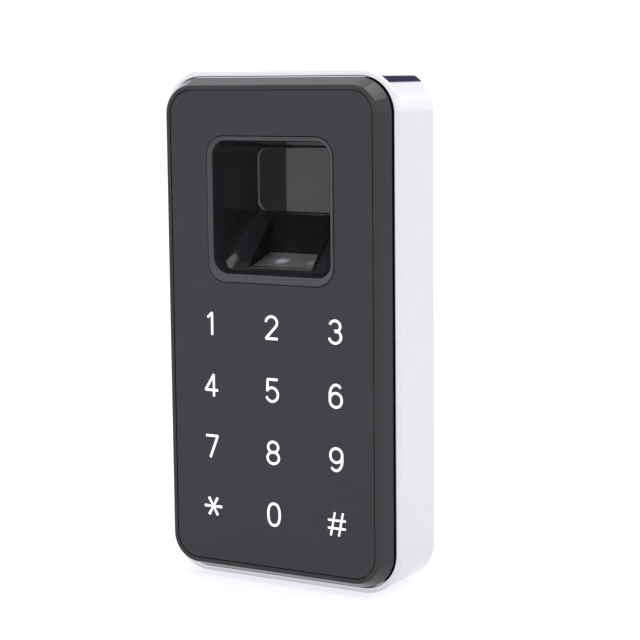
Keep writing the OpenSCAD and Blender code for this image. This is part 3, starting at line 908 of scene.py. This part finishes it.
@dataclass(frozen=True)
class Stroke:
    """One pen stroke of a legend."""

    points: tuple[Point, ...]
    closed: bool = False
    start_w: float = PEN
    end_w: float = PEN

    def sides(self) -> tuple[list[Point], list[Point]]:
        """The points along the stroke's left and right edges."""
        left: list[Point] = []
        right: list[Point] = []
        count = len(self.points)
        for k, point in enumerate(self.points):
            before = self.points[k - 1] if self.closed or k else point
            after = self.points[(k + 1) % count] if self.closed or k < count - 1 else point
            ahead = (Vector(after) - Vector(before)).normalized()
            share = k / max(1, count - 1)
            half = (self.start_w + (self.end_w - self.start_w) * share) / 2
            left.append((point[0] - ahead.y * half, point[1] + ahead.x * half))
            right.append((point[0] + ahead.y * half, point[1] - ahead.x * half))
        return left, right

    def cap(self, at_start: bool, roundness: float = 0.45, steps: int = 6) -> list[Point]:
        """The points of a softly rounded end."""
        tip = Vector(self.points[0] if at_start else self.points[-1])
        inner = Vector(self.points[1] if at_start else self.points[-2])
        out = (tip - inner).normalized()
        half = (self.start_w if at_start else self.end_w) / 2
        across = Vector((-out.y, out.x))
        points: list[Point] = []
        for k in range(1, steps):
            angle = math.pi * k / steps
            point = tip + across * half * math.cos(angle) + out * half * roundness * math.sin(angle)
            points.append((point.x, point.y))
        return points

    def solid(self, x: float, z: float, from_d: float, to_d: float) -> Solid:
        """The stroke as a thin slab between two depths, moved to a place on the panel."""
        left, right = self.sides()
        depths = (from_d, to_d)
        if self.closed:
            around = ((left, from_d), (left, to_d), (right, to_d), (right, from_d))
            rings = [[place(x + a, depth, z + b) for a, b in edge] for edge, depth in around]
            return Solid.from_rings(rings, closed=True)
        edge = left + self.cap(False) + right[::-1] + self.cap(True)
        return Solid.from_rings([[place(x + a, depth, z + b) for a, b in edge] for depth in depths])


def line(*points: Point, width: float = PEN, end_w: float = 0.0) -> Stroke:
    """A straight or bent stroke through points."""
    return Stroke(tuple(points), start_w=width, end_w=end_w or width)


@dataclass
class Legends:
    """The keypad's twelve printed legends, drawn with a pen of even width."""

    half_w: float = 1.7
    half_h: float = 2.83
    pitch_x: float = 18.57
    pitch_z: float = 16.15
    top_z: float = 1.33
    shift_x: float = 0.2
    thickness: float = 0.03
    sink: float = 0.1
    star_reach: float = 2.55
    star_pens: tuple[float, float] = (0.5, 0.8)
    hash_half_w: float = 2.5
    hash_half_h: float = 2.95
    hash_lean: float = 1.2
    hash_pen: float = 0.58
    rows: tuple[str, ...] = ("123", "456", "789", "*0#")
    names: dict[str, str] = field(default_factory=lambda: {"*": "star", "#": "hash"})

    def strokes(self, legend: str) -> list[Stroke]:
        """The strokes of one legend, around its own middle."""
        w, h = self.half_w, self.half_h
        if legend == "*":
            return self.star()
        if legend == "#":
            return self.hash_sign()
        shapes = {
            "0": [Stroke(tuple(oval(0, 0, w, h, 2.35)), closed=True)],
            "1": [line((0.58, -h), (0.58, h)), line((0.58, h), (-0.68, h - 1.2))],
            "2": [Stroke((*arc(0, h - 1.55, w - 0.05, 1.55, 172, -32), (-w, -h + 0.05))),
                  line((-w, -h), (w, -h))],
            "3": [Stroke(tuple(arc(-0.05, h - 1.4, w - 0.2, 1.4, 160, -86))),
                  Stroke(tuple(arc(-0.05, -h + 1.58, w, 1.58, 92, -166)))],
            "4": [line((0.78, h), (0.78, -h)), line((0.78, h), (-w - 0.05, -1.25)),
                  line((-w - 0.05, -1.25), (w + 0.25, -1.25))],
            "5": [line((w - 0.2, h), (-w + 0.35, h)), line((-w + 0.35, h), (-w + 0.2, -0.15)),
                  Stroke(tuple(arc(-0.1, -h + 1.78, w + 0.05, 1.78, 148, -158)))],
            "6": [Stroke(tuple(oval(0, -h + 1.78, w, 1.78, 2.1)), closed=True),
                  Stroke((*arc(0.12, 0.2, w + 0.12, h - 0.2, 48, 180), (-w, -h + 1.78)))],
            "7": [line((-w - 0.1, h), (w, h)), line((w, h), (-0.6, -h))],
            "8": [Stroke(tuple(oval(0, h - 1.36, w - 0.2, 1.36)), closed=True),
                  Stroke(tuple(oval(0, -h + 1.5, w, 1.5)), closed=True)],
            "9": [Stroke(tuple(oval(0, h - 1.78, w, 1.78, 2.1)), closed=True),
                  Stroke((*arc(-0.12, -0.2, w + 0.12, h - 0.2, 228, 360), (w, h - 1.78)))],
        }
        return shapes[legend]

    def star(self) -> list[Stroke]:
        """Three bars through one point, each narrow in the middle."""
        inner_w, outer_w = self.star_pens
        return [line((0.0, 0.0), tip, width=inner_w, end_w=outer_w)
                for tip in circle(self.star_reach, 6)]

    def hash_sign(self) -> list[Stroke]:
        """Two slanting uprights and two level bars."""
        w, h, pen = self.hash_half_w, self.hash_half_h, self.hash_pen
        uprights = [line((foot, -h), (foot + self.hash_lean, h), width=pen) for foot in (-1.78, 0.56)]
        bars = [line((-w, z), (w, z), width=pen) for z in (-1.08, 0.98)]
        return uprights + bars

    def offset(self, legend: str) -> float:
        """How far above its key's middle a legend sits."""
        return {"*": 0.25, "#": -0.45}.get(legend, 0.0)

    def build(self) -> None:
        """Prints every legend on the panel, each as one solid."""
        front_d = depth_of(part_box("touch_panel")[0].y)
        for row, legends in enumerate(self.rows):
            for column, legend in enumerate(legends):
                x = (column - 1) * self.pitch_x + self.shift_x
                z = self.top_z - row * self.pitch_z + self.offset(legend)
                strokes = self.strokes(legend)
                solids = [s.solid(x, z, front_d - self.thickness, front_d + self.sink)
                          for s in strokes]
                mark = solids[0].join(*solids[1:])
                name = "legend_" + self.names.get(legend, legend)
                mark.piece(name, INK_WHITE, "led_white", sharp_deg=50)


# ---- the finger pocket and its sensor ----


@dataclass
class Pocket:
    """The glossy moulding that a finger goes into, with the sensor's sloping floor."""

    front: Front
    lip_r: float = 3.75
    lip_edge: float = 1.0
    mouth_half_w: float = 17.25
    mouth_top_z: float = 48.3
    mouth_low_z: float = 13.6
    taper_w: float = 2.25
    taper_top: float = 2.0
    back_d: float = 18.9
    back_fillet: float = 0.6
    wall: float = 1.5
    sill_d: float = 4.0
    sill_z: float = 15.1
    floor_angle: float = 43.5
    floor_t: float = 1.8
    sensor_half: float = 10.0
    frame_start: float = 0.35
    frame_length: float = 19.8
    boss_x: float = 13.6
    boss_along: float = 9.0
    boss_h: float = 3.2
    corner_steps: int = 10
    top_r_fall: float = 0.45
    low_r_fall: float = 0.6
    low_r_shrink: float = 0.2
    least_r: float = 0.4
    lip_steps: int = 8
    wall_steps: int = 40
    fillet_steps: int = 12
    floor_shrink: float = 0.35
    flange_edge: float = 0.18
    edge_bend: float = 0.3
    flange_step: float = 0.01
    shell_steps: int = 12
    shell_trim: float = 0.45
    shell_top_r: float = 4.5
    shell_low_r: float = 2.0
    ear_t: float = 1.5
    ear_w: float = 4.0
    ear_hole_r: float = 1.0
    boss_r: float = 2.2
    boss_sink: float = 0.6
    boss_pilot_r: float = 0.85
    boss_steps: int = 32
    opening_inset: float = 0.4
    opening_reach: float = 6.0

    @property
    def slope(self) -> Matrix:
        """Places something given along and out of the sloping floor, in metres."""
        return Matrix.Translation(place(0, self.sill_d, self.sill_z)) @ Matrix.Rotation(
            math.radians(self.floor_angle), 4, "X")

    def on_slope(self, x: float, along: float, out: float) -> Vector:
        """A point given across, along and out of the sloping floor, in millimetres."""
        return self.slope @ Vector((x * MM, along * MM, out * MM))

    def floor_z(self, depth: float) -> float:
        """Height of the pocket's floor at a depth: a sill that rounds over, then the slope."""
        if depth < self.sill_d:
            left = 1 - depth / self.sill_d
            return self.mouth_low_z + (self.sill_z - self.mouth_low_z) * math.sqrt(1 - left * left)
        return self.sill_z + (depth - self.sill_d) * math.tan(math.radians(self.floor_angle))

    def section(self, depth: float, grow: float, low_grow: float) -> list[Vector]:
        """The cavity's outline at one depth, grown outwards at its sides and top and at its floor."""
        share = max(0.0, depth) / self.back_d
        half_w = self.mouth_half_w - self.taper_w * share + grow
        top = self.mouth_top_z - self.taper_top * share + grow
        low = self.floor_z(max(0.0, depth)) - low_grow
        top_r = max(self.least_r, self.lip_r - self.top_r_fall * share + grow)
        low_r = max(self.least_r,
                    self.lip_r - self.low_r_fall * share + min(grow, 0.0) * self.low_r_shrink)
        return self.rounded_section(depth, half_w, top, low, top_r, low_r)

    def rounded_section(self, depth: float, half_w: float, top: float, low: float, top_r: float,
                        low_r: float) -> list[Vector]:
        """A rectangle at one depth whose upper and lower corners have their own radii."""
        arcs: list[tuple[float, float, float]] = []
        for side, end in CORNERS:
            edge_z, radius = (top, top_r) if end > 0 else (low, low_r)
            arcs.append((side * (half_w - radius), edge_z - end * radius, radius))
        return [place(x, depth, z) for x, z in corner_arcs(arcs, self.corner_steps)]

    def cavity(self) -> Solid:
        """The hollow: its edge rounds over at the lip and curves into the back wall."""
        rings = [self.section(-PAST, self.lip_edge, self.lip_edge)]
        for step in range(self.lip_steps + 1):
            angle = math.radians(90 * step / self.lip_steps)
            grow = self.lip_edge * (1 - math.sin(angle))
            rings.append(self.section(self.lip_edge * (1 - math.cos(angle)), grow, grow))
        start = self.lip_edge
        stop = self.back_d - self.back_fillet
        for step in range(1, self.wall_steps + 1):
            rings.append(self.section(start + (stop - start) * step / self.wall_steps, 0, 0))
        for step in range(1, self.fillet_steps + 1):
            angle = math.radians(90 * step / self.fillet_steps)
            depth = stop + self.back_fillet * math.sin(angle)
            shrink = self.back_fillet * (1 - math.cos(angle))
            rings.append(self.section(depth, -shrink, -shrink * self.floor_shrink))
        return Solid.from_rings(rings)

    def shell(self) -> Solid:
        """The moulding's outside: the lip's flange, then walls that follow the cavity."""
        window, window_r = self.front.window, self.front.window_r
        lip_half = window.corner_x + window_r
        lip_low = window.centre_z - window.corner_z - window_r
        lip_top = window.centre_z + window.corner_z + window_r
        flange_d = self.front.web_d
        edge, bend = self.flange_edge, self.flange_edge * self.edge_bend
        rings = []
        for depth, inset in ((0.0, edge), (bend, bend), (edge, 0.0), (flange_d, 0.0)):
            rings.append(self.rounded_section(depth, lip_half - inset, lip_top - inset,
                                              lip_low + inset, window_r - inset, window_r - inset))
        fall = self.floor_t / math.cos(math.radians(self.floor_angle))
        end_d = self.back_d + self.wall
        for step in range(self.shell_steps + 1):
            run = (end_d - flange_d - self.flange_step) * step / self.shell_steps
            depth = flange_d + self.flange_step + run
            share = min(1.0, depth / self.back_d)
            low = max(lip_low, self.floor_z(depth) - fall)
            half_w = self.mouth_half_w - self.taper_w * share + self.wall - self.shell_trim
            top = self.mouth_top_z - self.taper_top * share + self.wall - self.shell_trim
            rings.append(self.rounded_section(depth, half_w, top, low, self.shell_top_r,
                                              self.shell_low_r))
        return Solid.from_rings(rings)

    def boss(self, side: int, radius: float, low: float, high: float) -> Solid:
        """A round bar out of the sloping floor, between two heights."""
        return Solid.from_rings([[self.on_slope(side * self.boss_x + a, self.boss_along + b, out)
                                  for a, b in circle(radius, self.boss_steps)]
                                 for out in (low, high)])

    def slope_block(self, half_w: float, start: float, end: float, low: float, high: float) -> Solid:
        """A block given across, along and out of the sloping floor."""
        corners = ((1, end), (-1, end), (-1, start), (1, start))
        return Solid.from_rings([[self.on_slope(side * half_w, along, out) for side, along in corners]
                                 for out in (low, high)])

    def build(self) -> None:
        """Makes the pocket's moulding with its ears, bosses and the sensor's opening."""
        body = self.shell()
        front = self.front
        ear_d, ear_back_d = front.pocket_ear_d, front.pocket_ear_d + self.ear_t
        for side, z in both_sides(1, front.pocket_ear_z):
            body.join(Solid.bar(side * front.pocket_ear_x, z, front.board_boss_r, ear_d, ear_back_d),
                      Solid.block(side * (front.pocket_ear_x - self.ear_w / 2), z, self.ear_w,
                                  2 * front.board_boss_r, ear_d, ear_back_d))
        boss_low = -self.floor_t - self.boss_h
        for side in SIDES:
            body.join(self.boss(side, self.boss_r, boss_low, -self.floor_t + self.boss_sink))
        inset = self.opening_inset
        opening = self.slope_block(self.sensor_half - inset, self.frame_start + inset,
                                   self.frame_start + self.frame_length - inset,
                                   -self.opening_reach, self.opening_reach)
        ears = both_sides(front.pocket_ear_x, front.pocket_ear_z)
        body.cut(self.cavity(), opening,
                 *Solid.bars(ears, self.ear_hole_r, ear_d - PAST, ear_back_d + PAST))
        for side in SIDES:
            body.cut(self.boss(side, self.boss_pilot_r, boss_low - PAST, -self.floor_t))
        body.piece("pocket_moulding", POCKET_BLACK, "pocket_black", stands_for=["finger_pocket"],
                   sharp_deg=30, tidy=False)


@dataclass
class Sensor:
    """The optical sensor: its frame, the glass prism, the paint on it and the pad under it, whose glow
    is painted.
    """

    pocket: Pocket
    edge_w: float = 0.55
    frame_h: float = 0.5
    frame_corner: float = 0.9
    contact: float = 0.04
    frame_sink: float = 0.2
    frame_fillet: float = 0.16
    least_r: float = 0.15
    prism_land: float = 0.5
    prism_edge: float = 0.08
    paint_t: float = 0.06
    paint_drop: float = 0.15

    def frame_ring(self, grow: float, out: float) -> list[Vector]:
        """The frame's outline on the sloping floor, grown outwards, at a height."""
        pocket = self.pocket
        half_l = pocket.frame_length / 2
        radius = max(self.least_r, self.frame_corner + grow)
        outline = Outline(pocket.sensor_half - self.frame_corner, half_l - self.frame_corner, steps=8)
        middle = pocket.frame_start + half_l
        return [pocket.on_slope(x, middle + z, out) for x, z in outline.loop(radius)]

    def build(self) -> None:
        """Makes the sensor's pieces, outside to inside."""
        self.build_frame()
        self.build_prism()

    def build_frame(self) -> None:
        """Makes the square frame that stands round the glass."""
        corners = (Corner(0.0, -self.frame_sink), Corner(0.0, self.frame_h, self.frame_fillet),
                   Corner(-self.edge_w, self.frame_h, self.frame_fillet),
                   Corner(-self.edge_w, -self.frame_sink))
        rings = [self.frame_ring(grow, out) for grow, out in rounded_path(corners, True, 4)]
        Solid.from_rings(rings, closed=True).piece(
            "sensor_surround", FRAME_BLACK, "frame_black", stands_for=["sensor_frame"])

    def build_prism(self) -> None:
        """Makes the prism, its black paint and the pad that touches its underside."""
        pocket = self.pocket
        low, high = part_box("sensor_prism")
        half_w = high.x / MM
        back_d = depth_of(high.y)
        front_d = depth_of(low.y)
        low_z, top_z = low.z / MM, high.z / MM
        front_top = low_z + self.prism_land / math.cos(math.radians(pocket.floor_angle))
        view = ((front_d, front_top), (back_d, top_z), (back_d, low_z), (front_d, low_z))
        prism = Solid.along_x(view, -half_w, half_w)
        prism.piece("prism_block", PRISM_GLASS, "prism_glass", edge=self.prism_edge,
                    stands_for=["sensor_prism"])
        paint_top, paint_back = top_z - self.paint_drop, back_d + self.paint_t
        paint = Solid.along_x(((front_d, front_top - self.paint_drop), (back_d, paint_top),
                               (paint_back, paint_top), (paint_back, low_z), (front_d, low_z)),
                              -half_w - self.paint_t, half_w + self.paint_t)
        hollow_back = back_d - self.contact
        hollow = Solid.along_x(((front_d - PAST, low_z - PAST), (front_d - PAST, top_z + PAST),
                                (hollow_back, top_z + PAST), (hollow_back, low_z - PAST)),
                               -half_w + self.contact, half_w - self.contact)
        paint.cut(hollow).piece("prism_paint", SHADE_BLACK, "shade_black")
        self.build_pad(low_z)

    def build_pad(self, prism_low: float) -> None:
        """Makes the diffusing pad, pressed against the prism's underside."""
        low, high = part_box("light_diffuser")
        half_w = high.x / MM
        pad = Solid.block(0, (low.z / MM + prism_low + self.contact) / 2, 2 * half_w,
                          prism_low + self.contact - low.z / MM, depth_of(low.y), depth_of(high.y))
        # The pad's finish is painted light: a painted glow, with pools of light and a painted shade.
        pad.piece("diffuser_pad", DIFFUSER_PAINTED_GLOW, "diffuser_white", stands_for=["light_diffuser"])


# ---- the rear ----


@dataclass
class Rear:
    """The rear plate with its screws, the cable's grommet, the inserts and the reset button."""

    body: Body
    plate_r: float = 9.8
    head_r: float = 2.9
    shaft_r: float = 1.2
    head_gap: float = 0.15
    grommet_z: float = -16.0
    cable_r: float = 3.0
    insert_z: float = 56.0
    insert_r: float = 2.0
    insert_outer_r: float = 3.5
    insert_length: float = 5.5
    thread_pitch: float = 0.7
    reset_x: float = -17.0
    reset_z: float = -30.0
    reset_hole_r: float = 2.2
    plate_fillet: float = 0.3
    plate_cap: float = 2.0
    plate_edge: float = 0.12
    cable_hole_gap: float = 2.0
    insert_cover: float = 0.5
    screw_length: float = 8.5
    screw_taper: float = 0.8
    screw_turn_deg: float = 17.0
    screw_tip_share: float = 0.6
    head_rim: float = 0.12
    head_rim_fillet: float = 0.08
    head_chamfer: float = 0.15
    head_fillet: float = 0.1
    head_centre_r: float = 0.4
    screw_edge: float = 0.05
    slot_length: float = 3.0
    slot_w: float = 0.62
    slot_d: float = 0.85
    grommet_flange: float = 3.5
    grommet_neck: float = 1.98
    grommet_in: float = 1.5
    grommet_mouth_fillet: float = 0.6
    grommet_neck_fillet: float = 0.45
    grommet_flange_fillet: float = 0.5
    grommet_seat_fillet: float = 0.1
    grommet_inner_fillet: float = 0.3
    seat_gap: float = 0.02
    insert_neck: float = 0.55
    insert_chamfer: float = 0.1
    thread_h: float = 0.32
    thread_fullness: float = 0.6
    button_centre_r: float = 0.2
    button_foot_fillet: float = 0.15
    button_tip_fillet: float = 0.6
    button_crown: float = 0.2

    def build(self) -> None:
        """Makes everything that shows at the back."""
        self.build_plate()
        for number, (x, z) in enumerate(self.body.at_rear_screws(), 1):
            self.build_screw(f"rear_screw_{number}", x, z, self.screw_turn_deg * number)
        self.build_grommet()
        for name, z in (("upper_insert", self.insert_z), ("lower_insert", -self.insert_z)):
            self.build_insert(name, z)
        self.build_button()

    def build_plate(self) -> None:
        """Makes the plate, with countersinks and holes whose edges are softened."""
        outline = self.body.outline
        plate_d = self.body.plate_d
        plate = Solid.swept(outline, (
            Corner(self.plate_r, plate_d), Corner(self.plate_r, BODY_D, self.plate_fillet),
            Corner(self.plate_r - self.plate_cap, BODY_D)), closed=False)
        for x, z in self.body.at_rear_screws():
            start, end = self.head_gap + self.shaft_r, self.head_gap + self.head_r
            slant = (end - start) / (BODY_D - plate_d)
            plate.cut(Solid.turned(x, z, (Corner(start - slant, plate_d - PAST),
                                          Corner(end + slant, BODY_D + PAST))))
        holes = [(0.0, self.grommet_z, self.cable_r + self.cable_hole_gap),
                 (self.reset_x, self.reset_z, self.reset_hole_r)]
        holes += [(0.0, end * self.insert_z, self.insert_outer_r - self.insert_cover)
                  for end in SIDES]
        for x, z, radius in holes:
            plate.cut(Solid.bar(x, z, radius, plate_d - PAST, BODY_D + PAST))
        plate.piece("rear_cover", POWDER_COAT, "plate_steel", edge=self.plate_edge,
                    stands_for=["rear_plate"], sharp_deg=40)

    def build_screw(self, name: str, x: float, z: float, turn_deg: float) -> None:
        """Makes one countersunk screw with a cross recess, turned to its own angle."""
        plate_d = self.body.plate_d
        tip_d = plate_d - self.screw_length
        corners = (Corner(self.shaft_r * self.screw_tip_share, tip_d),
                   Corner(self.shaft_r, tip_d + self.screw_taper),
                   Corner(self.shaft_r, plate_d),
                   Corner(self.head_r, BODY_D - self.head_rim, self.head_rim_fillet),
                   Corner(self.head_r - self.head_chamfer, BODY_D, self.head_fillet),
                   Corner(self.head_centre_r, BODY_D))
        screw = Solid.turned(x, z, corners)
        for turn in (0, 90):
            slot = Solid.block(0, 0, self.slot_length, self.slot_w, BODY_D - self.slot_d,
                               BODY_D + PAST)
            spin = Matrix.Rotation(math.radians(turn_deg + turn), 4, "Y")
            screw.cut(slot.moved(Matrix.Translation(Vector((x * MM, 0, z * MM))) @ spin))
        screw.piece(name, DARK_STEEL, "screw_steel", edge=self.screw_edge, stands_for=["rear_screws"])

    def build_grommet(self) -> None:
        """Makes the rubber grommet that the cable comes out of."""
        plate_d = self.body.plate_d
        flange_r, neck_r = self.cable_r + self.grommet_flange, self.cable_r + self.grommet_neck
        flange_d, seat_d = plate_d - self.grommet_in, plate_d - self.seat_gap
        Solid.turned(0.0, self.grommet_z, (
            Corner(self.cable_r, flange_d, self.grommet_inner_fillet),
            Corner(flange_r, flange_d, self.grommet_flange_fillet),
            Corner(flange_r, seat_d, self.grommet_seat_fillet), Corner(neck_r, seat_d),
            Corner(neck_r, BODY_D, self.grommet_neck_fillet),
            Corner(self.cable_r, BODY_D, self.grommet_mouth_fillet)), closed=True).piece(
                "cable_bush", RUBBER, "grommet_rubber", stands_for=["cable_grommet"])

    def build_insert(self, name: str, z: float) -> None:
        """Makes one threaded brass insert with a real helical thread in its bore."""
        start_d, seat_d = BODY_D - self.insert_length, self.body.plate_d - self.seat_gap
        neck_r = self.insert_outer_r - self.insert_neck
        outside = ((self.insert_outer_r, start_d), (self.insert_outer_r, seat_d), (neck_r, seat_d),
                   (neck_r, BODY_D - self.insert_chamfer), (neck_r - self.insert_chamfer, BODY_D))
        spokes, rings_per_pitch, rings_at_end = 36, 6, 3
        runs = int(self.insert_length / self.thread_pitch * rings_per_pitch)
        rings = [[place(a, depth, z + b) for a, b in circle(r, spokes)] for r, depth in outside]
        for row in range(runs + 1):
            depth = BODY_D - self.insert_length * row / runs
            ends = min(1.0, row / rings_at_end, (runs - row) / rings_at_end)
            ring = []
            for k, (c, s) in enumerate(circle(1.0, spokes)):
                phase = ((BODY_D - depth) / self.thread_pitch + k / spokes) % 1.0
                rise = self.thread_h * ends * (0.5 - abs(phase - 0.5)) * 2 * self.thread_fullness
                radius = self.insert_r + rise
                ring.append(place(radius * c, depth, z + radius * s))
            rings.append(ring)
        Solid.from_rings(rings, closed=True).piece(name, BRASS, "brass", stands_for=["mounting_inserts"],
                                                   sharp_deg=35, tidy=False)

    def build_button(self) -> None:
        """Makes the reset button, domed at its tip."""
        low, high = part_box("reset_button")
        radius = (high.x - low.x) / MM / 2
        front_d, back_d = depth_of(low.y), depth_of(high.y)
        plunger = Solid.turned(self.reset_x, self.reset_z, (
            Corner(self.button_centre_r, front_d), Corner(radius, front_d, self.button_foot_fillet),
            Corner(radius, back_d - self.button_crown, self.button_tip_fillet),
            Corner(self.button_centre_r, back_d)))
        plunger.piece("reset_plunger", BUTTON_RED, "button_red", body="reset_button",
                      stands_for=["reset_button"])


# ---- what the housing holds ----


@dataclass
class Inside:
    """The pieces that keep the model's own shape, each with a finish and softened edges."""

    edge: float = 0.12
    edge_share: float = 0.12
    weld_gap: float = 0.002

    def finishes(self) -> dict[Finish, list[str]]:
        """The nodes that each finish covers."""
        return {
            RUBBER: ["front_seal", "rear_seal"],
            TAPE: ["panel_tape"],
            SCREW_STEEL: ["pocket_screws", "sensor_screws", "board_screws", "bezel_screws"],
            BOARD_GREEN: ["light_board", "image_board", "keypad_board", "main_board"],
            LAMP_WHITE: ["sensor_leds", "key_leds"],
            SHADE_BLACK: ["lens_shade"],
            INNER_BLACK: ["lens_barrel", "sensor_bracket", "reset_switch", "buzzer"],
            SENSOR_CHIP: ["image_sensor"],
            CHIP_BLACK: ["touch_chip", "processor", "memory_chip", "power_chip"],
            RIBBON_AMBER: ["sensor_ribbon"],
            RIBBON_WHITE: ["keypad_ribbon"],
            SOCKET_IVORY: ["ribbon_sockets", "wire_socket"],
            CAN_STEEL: ["crystal"],
            CAN_ALUMINIUM: ["capacitors"],
            FERRITE: ["power_coil"],
            RELAY_BLUE: ["lock_relay"],
        }

    def dress_all(self) -> None:
        """Gives every node its finish, and rounds its edges by a share of its thickness."""
        for finish, names in self.finishes().items():
            for name in names:
                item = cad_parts[name]
                dress(item, finish)
                low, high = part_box(name)
                thin = min(high - low) / MM
                joined = item.modifiers.new("joined", "WELD")
                joined.merge_threshold = self.weld_gap * MM
                round_edges(item, min(self.edge, thin * self.edge_share), 40)
                log.info("%s: finished in %s", name, finish.name)


# ---- the studio ----


@dataclass(frozen=True)
class Patch:
    """A soft patch of the surround: the direction of its middle, its reach and its colour."""

    towards: tuple[float, float, float]
    reach: tuple[float, float, float]
    colour: Colour
    soft_from: float = 0.75
    soft_to: float = 1.1

    def lay(self, tree: bpy.types.NodeTree, direction: bpy.types.NodeSocket,
            colour: bpy.types.NodeSocket) -> bpy.types.NodeSocket:
        """Lays the patch over the surround.

        Args:
            tree: the world's nodes.
            direction: the direction that is looked in.
            colour: the surround's colour so far.

        Returns:
            The colour with the patch in it.
        """
        offset = add_node(tree, "VectorMath", {0: direction, 1: self.towards}, operation="SUBTRACT")
        shaped = add_node(tree, "VectorMath", {
            0: offset.outputs["Vector"], 1: tuple(1 / reach for reach in self.reach)},
            operation="MULTIPLY")
        away = add_node(tree, "VectorMath", {0: shaped.outputs["Vector"]}, operation="LENGTH")
        amount = add_node(tree, "MapRange", {
            "Value": away.outputs["Value"], "From Min": self.soft_from, "From Max": self.soft_to,
            "To Min": 1.0, "To Max": 0.0}, interpolation_type="SMOOTHSTEP")
        return mix_colours(tree, amount.outputs["Result"], colour, (*self.colour, 1.0))


@dataclass
class Studio:
    """A pale floor, a bright surround, one soft light and the camera."""

    eye: tuple[float, float, float] = (248.45, -401.68, 65.84)
    heading_deg: float = 30.218
    tilt_deg: float = -7.562
    roll_deg: float = -0.585
    lens: float = 105.79
    sensor_w: float = 36.0
    floor_size: float = 0.4
    floor_steps: int = 96
    floor_paint: Finish = Glow("floor_paint", (0.28, 0.28, 0.292), 0.9, ior=1.2, mottle=0.01,
                               glow=2.65)
    sky: tuple[tuple[float, Colour], ...] = (
        (0.0, (0.60, 0.60, 0.63)), (0.06, (0.66, 0.66, 0.69)), (0.3, (0.72, 0.72, 0.76)),
        (0.64, (0.56, 0.56, 0.59)), (0.9, (0.84, 0.84, 0.88)))
    sky_strength: float = 2.0
    key_place: tuple[float, float, float] = (0.5, 0.3, 0.9)
    key_size: float = 0.7
    key_power: float = 2.0
    dark_patch: Patch = Patch((-0.11, 0.857, 0.50), (0.14, 0.30, 0.13), (0.03, 0.03, 0.06))

    def build(self) -> None:
        """Makes the camera, the floor, the surround and the light."""
        self.build_camera()
        self.build_floor()
        self.build_surround()
        self.build_light()
        bpy.context.scene.view_settings.view_transform = "Standard"
        bpy.context.scene.view_settings.look = "None"

    def build_camera(self) -> None:
        """Puts the camera in front, to the right and level with the terminal's top edge."""
        data = bpy.data.cameras.new("camera")
        data.lens = self.lens
        data.sensor_width = self.sensor_w
        data.clip_start = 0.01
        camera = add_object("camera", data)
        turn = Matrix.Rotation(math.radians(self.heading_deg), 4, "Z")
        tilt = Matrix.Rotation(math.radians(90 + self.tilt_deg), 4, "X")
        roll = Matrix.Rotation(math.radians(self.roll_deg), 4, "Z")
        camera.matrix_world = Matrix.Translation(place(*self.eye)) @ turn @ tilt @ roll
        bpy.context.scene.camera = camera

    def build_floor(self) -> None:
        """Makes a round pale floor under the terminal."""
        rim = [(a, b, CAD_BOX[0].z) for a, b in circle(self.floor_size, self.floor_steps)]
        mesh = bpy.data.meshes.new("floor")
        mesh.from_pydata(rim, [], [tuple(range(self.floor_steps))])
        floor = add_object("floor", mesh)
        dress(floor, self.floor_paint)

    def build_surround(self) -> None:
        """Makes the surround: pale, dimmer half way up, with one dark patch behind and above."""
        world = bpy.data.worlds.new("surround")
        bpy.context.scene.world = world
        world.use_nodes = True
        tree = world.node_tree
        where = add_node(tree, "TexCoord")
        split = add_node(tree, "SeparateXYZ", {"Vector": where.outputs["Generated"]})
        plain = add_ramp(tree, split.outputs["Z"], self.sky)
        background = tree.nodes["Background"]
        background.inputs["Strength"].default_value = self.sky_strength
        patched = self.dark_patch.lay(tree, where.outputs["Generated"], plain)
        self.keep_backdrop_plain(tree, patched, plain, background)

    def keep_backdrop_plain(self, tree: bpy.types.NodeTree, patched: bpy.types.NodeSocket,
                            plain: bpy.types.NodeSocket, background: bpy.types.Node) -> None:
        """Lets the patch show in reflections only, so that the backdrop stays plain."""
        path = add_node(tree, "LightPath")
        chosen = mix_colours(tree, path.outputs["Is Camera Ray"], patched, plain)
        tree.links.new(chosen, background.inputs["Color"])

    def build_light(self) -> None:
        """Hangs one large square soft light above, behind and to the right, facing the terminal."""
        data = bpy.data.lights.new("key_light", "AREA")
        data.size = self.key_size
        data.energy = self.key_power
        where = Vector(self.key_place)
        light = add_object("key_light", data)
        light.location = where
        light.rotation_euler = (-where).to_track_quat("-Z", "Y").to_euler()


def main() -> None:
    """Builds the terminal from its housing inwards, and then the studio round it."""
    logging.basicConfig(level=logging.INFO, format="%(name)s: %(message)s")
    Studio().build()
    body = Body()
    body.build()
    front = Front(body)
    front.build()
    Legends().build()
    pocket = Pocket(front)
    pocket.build()
    Sensor(pocket).build()
    Rear(body).build()
    Inside().dress_all()


if __name__ == "__main__":
    main()
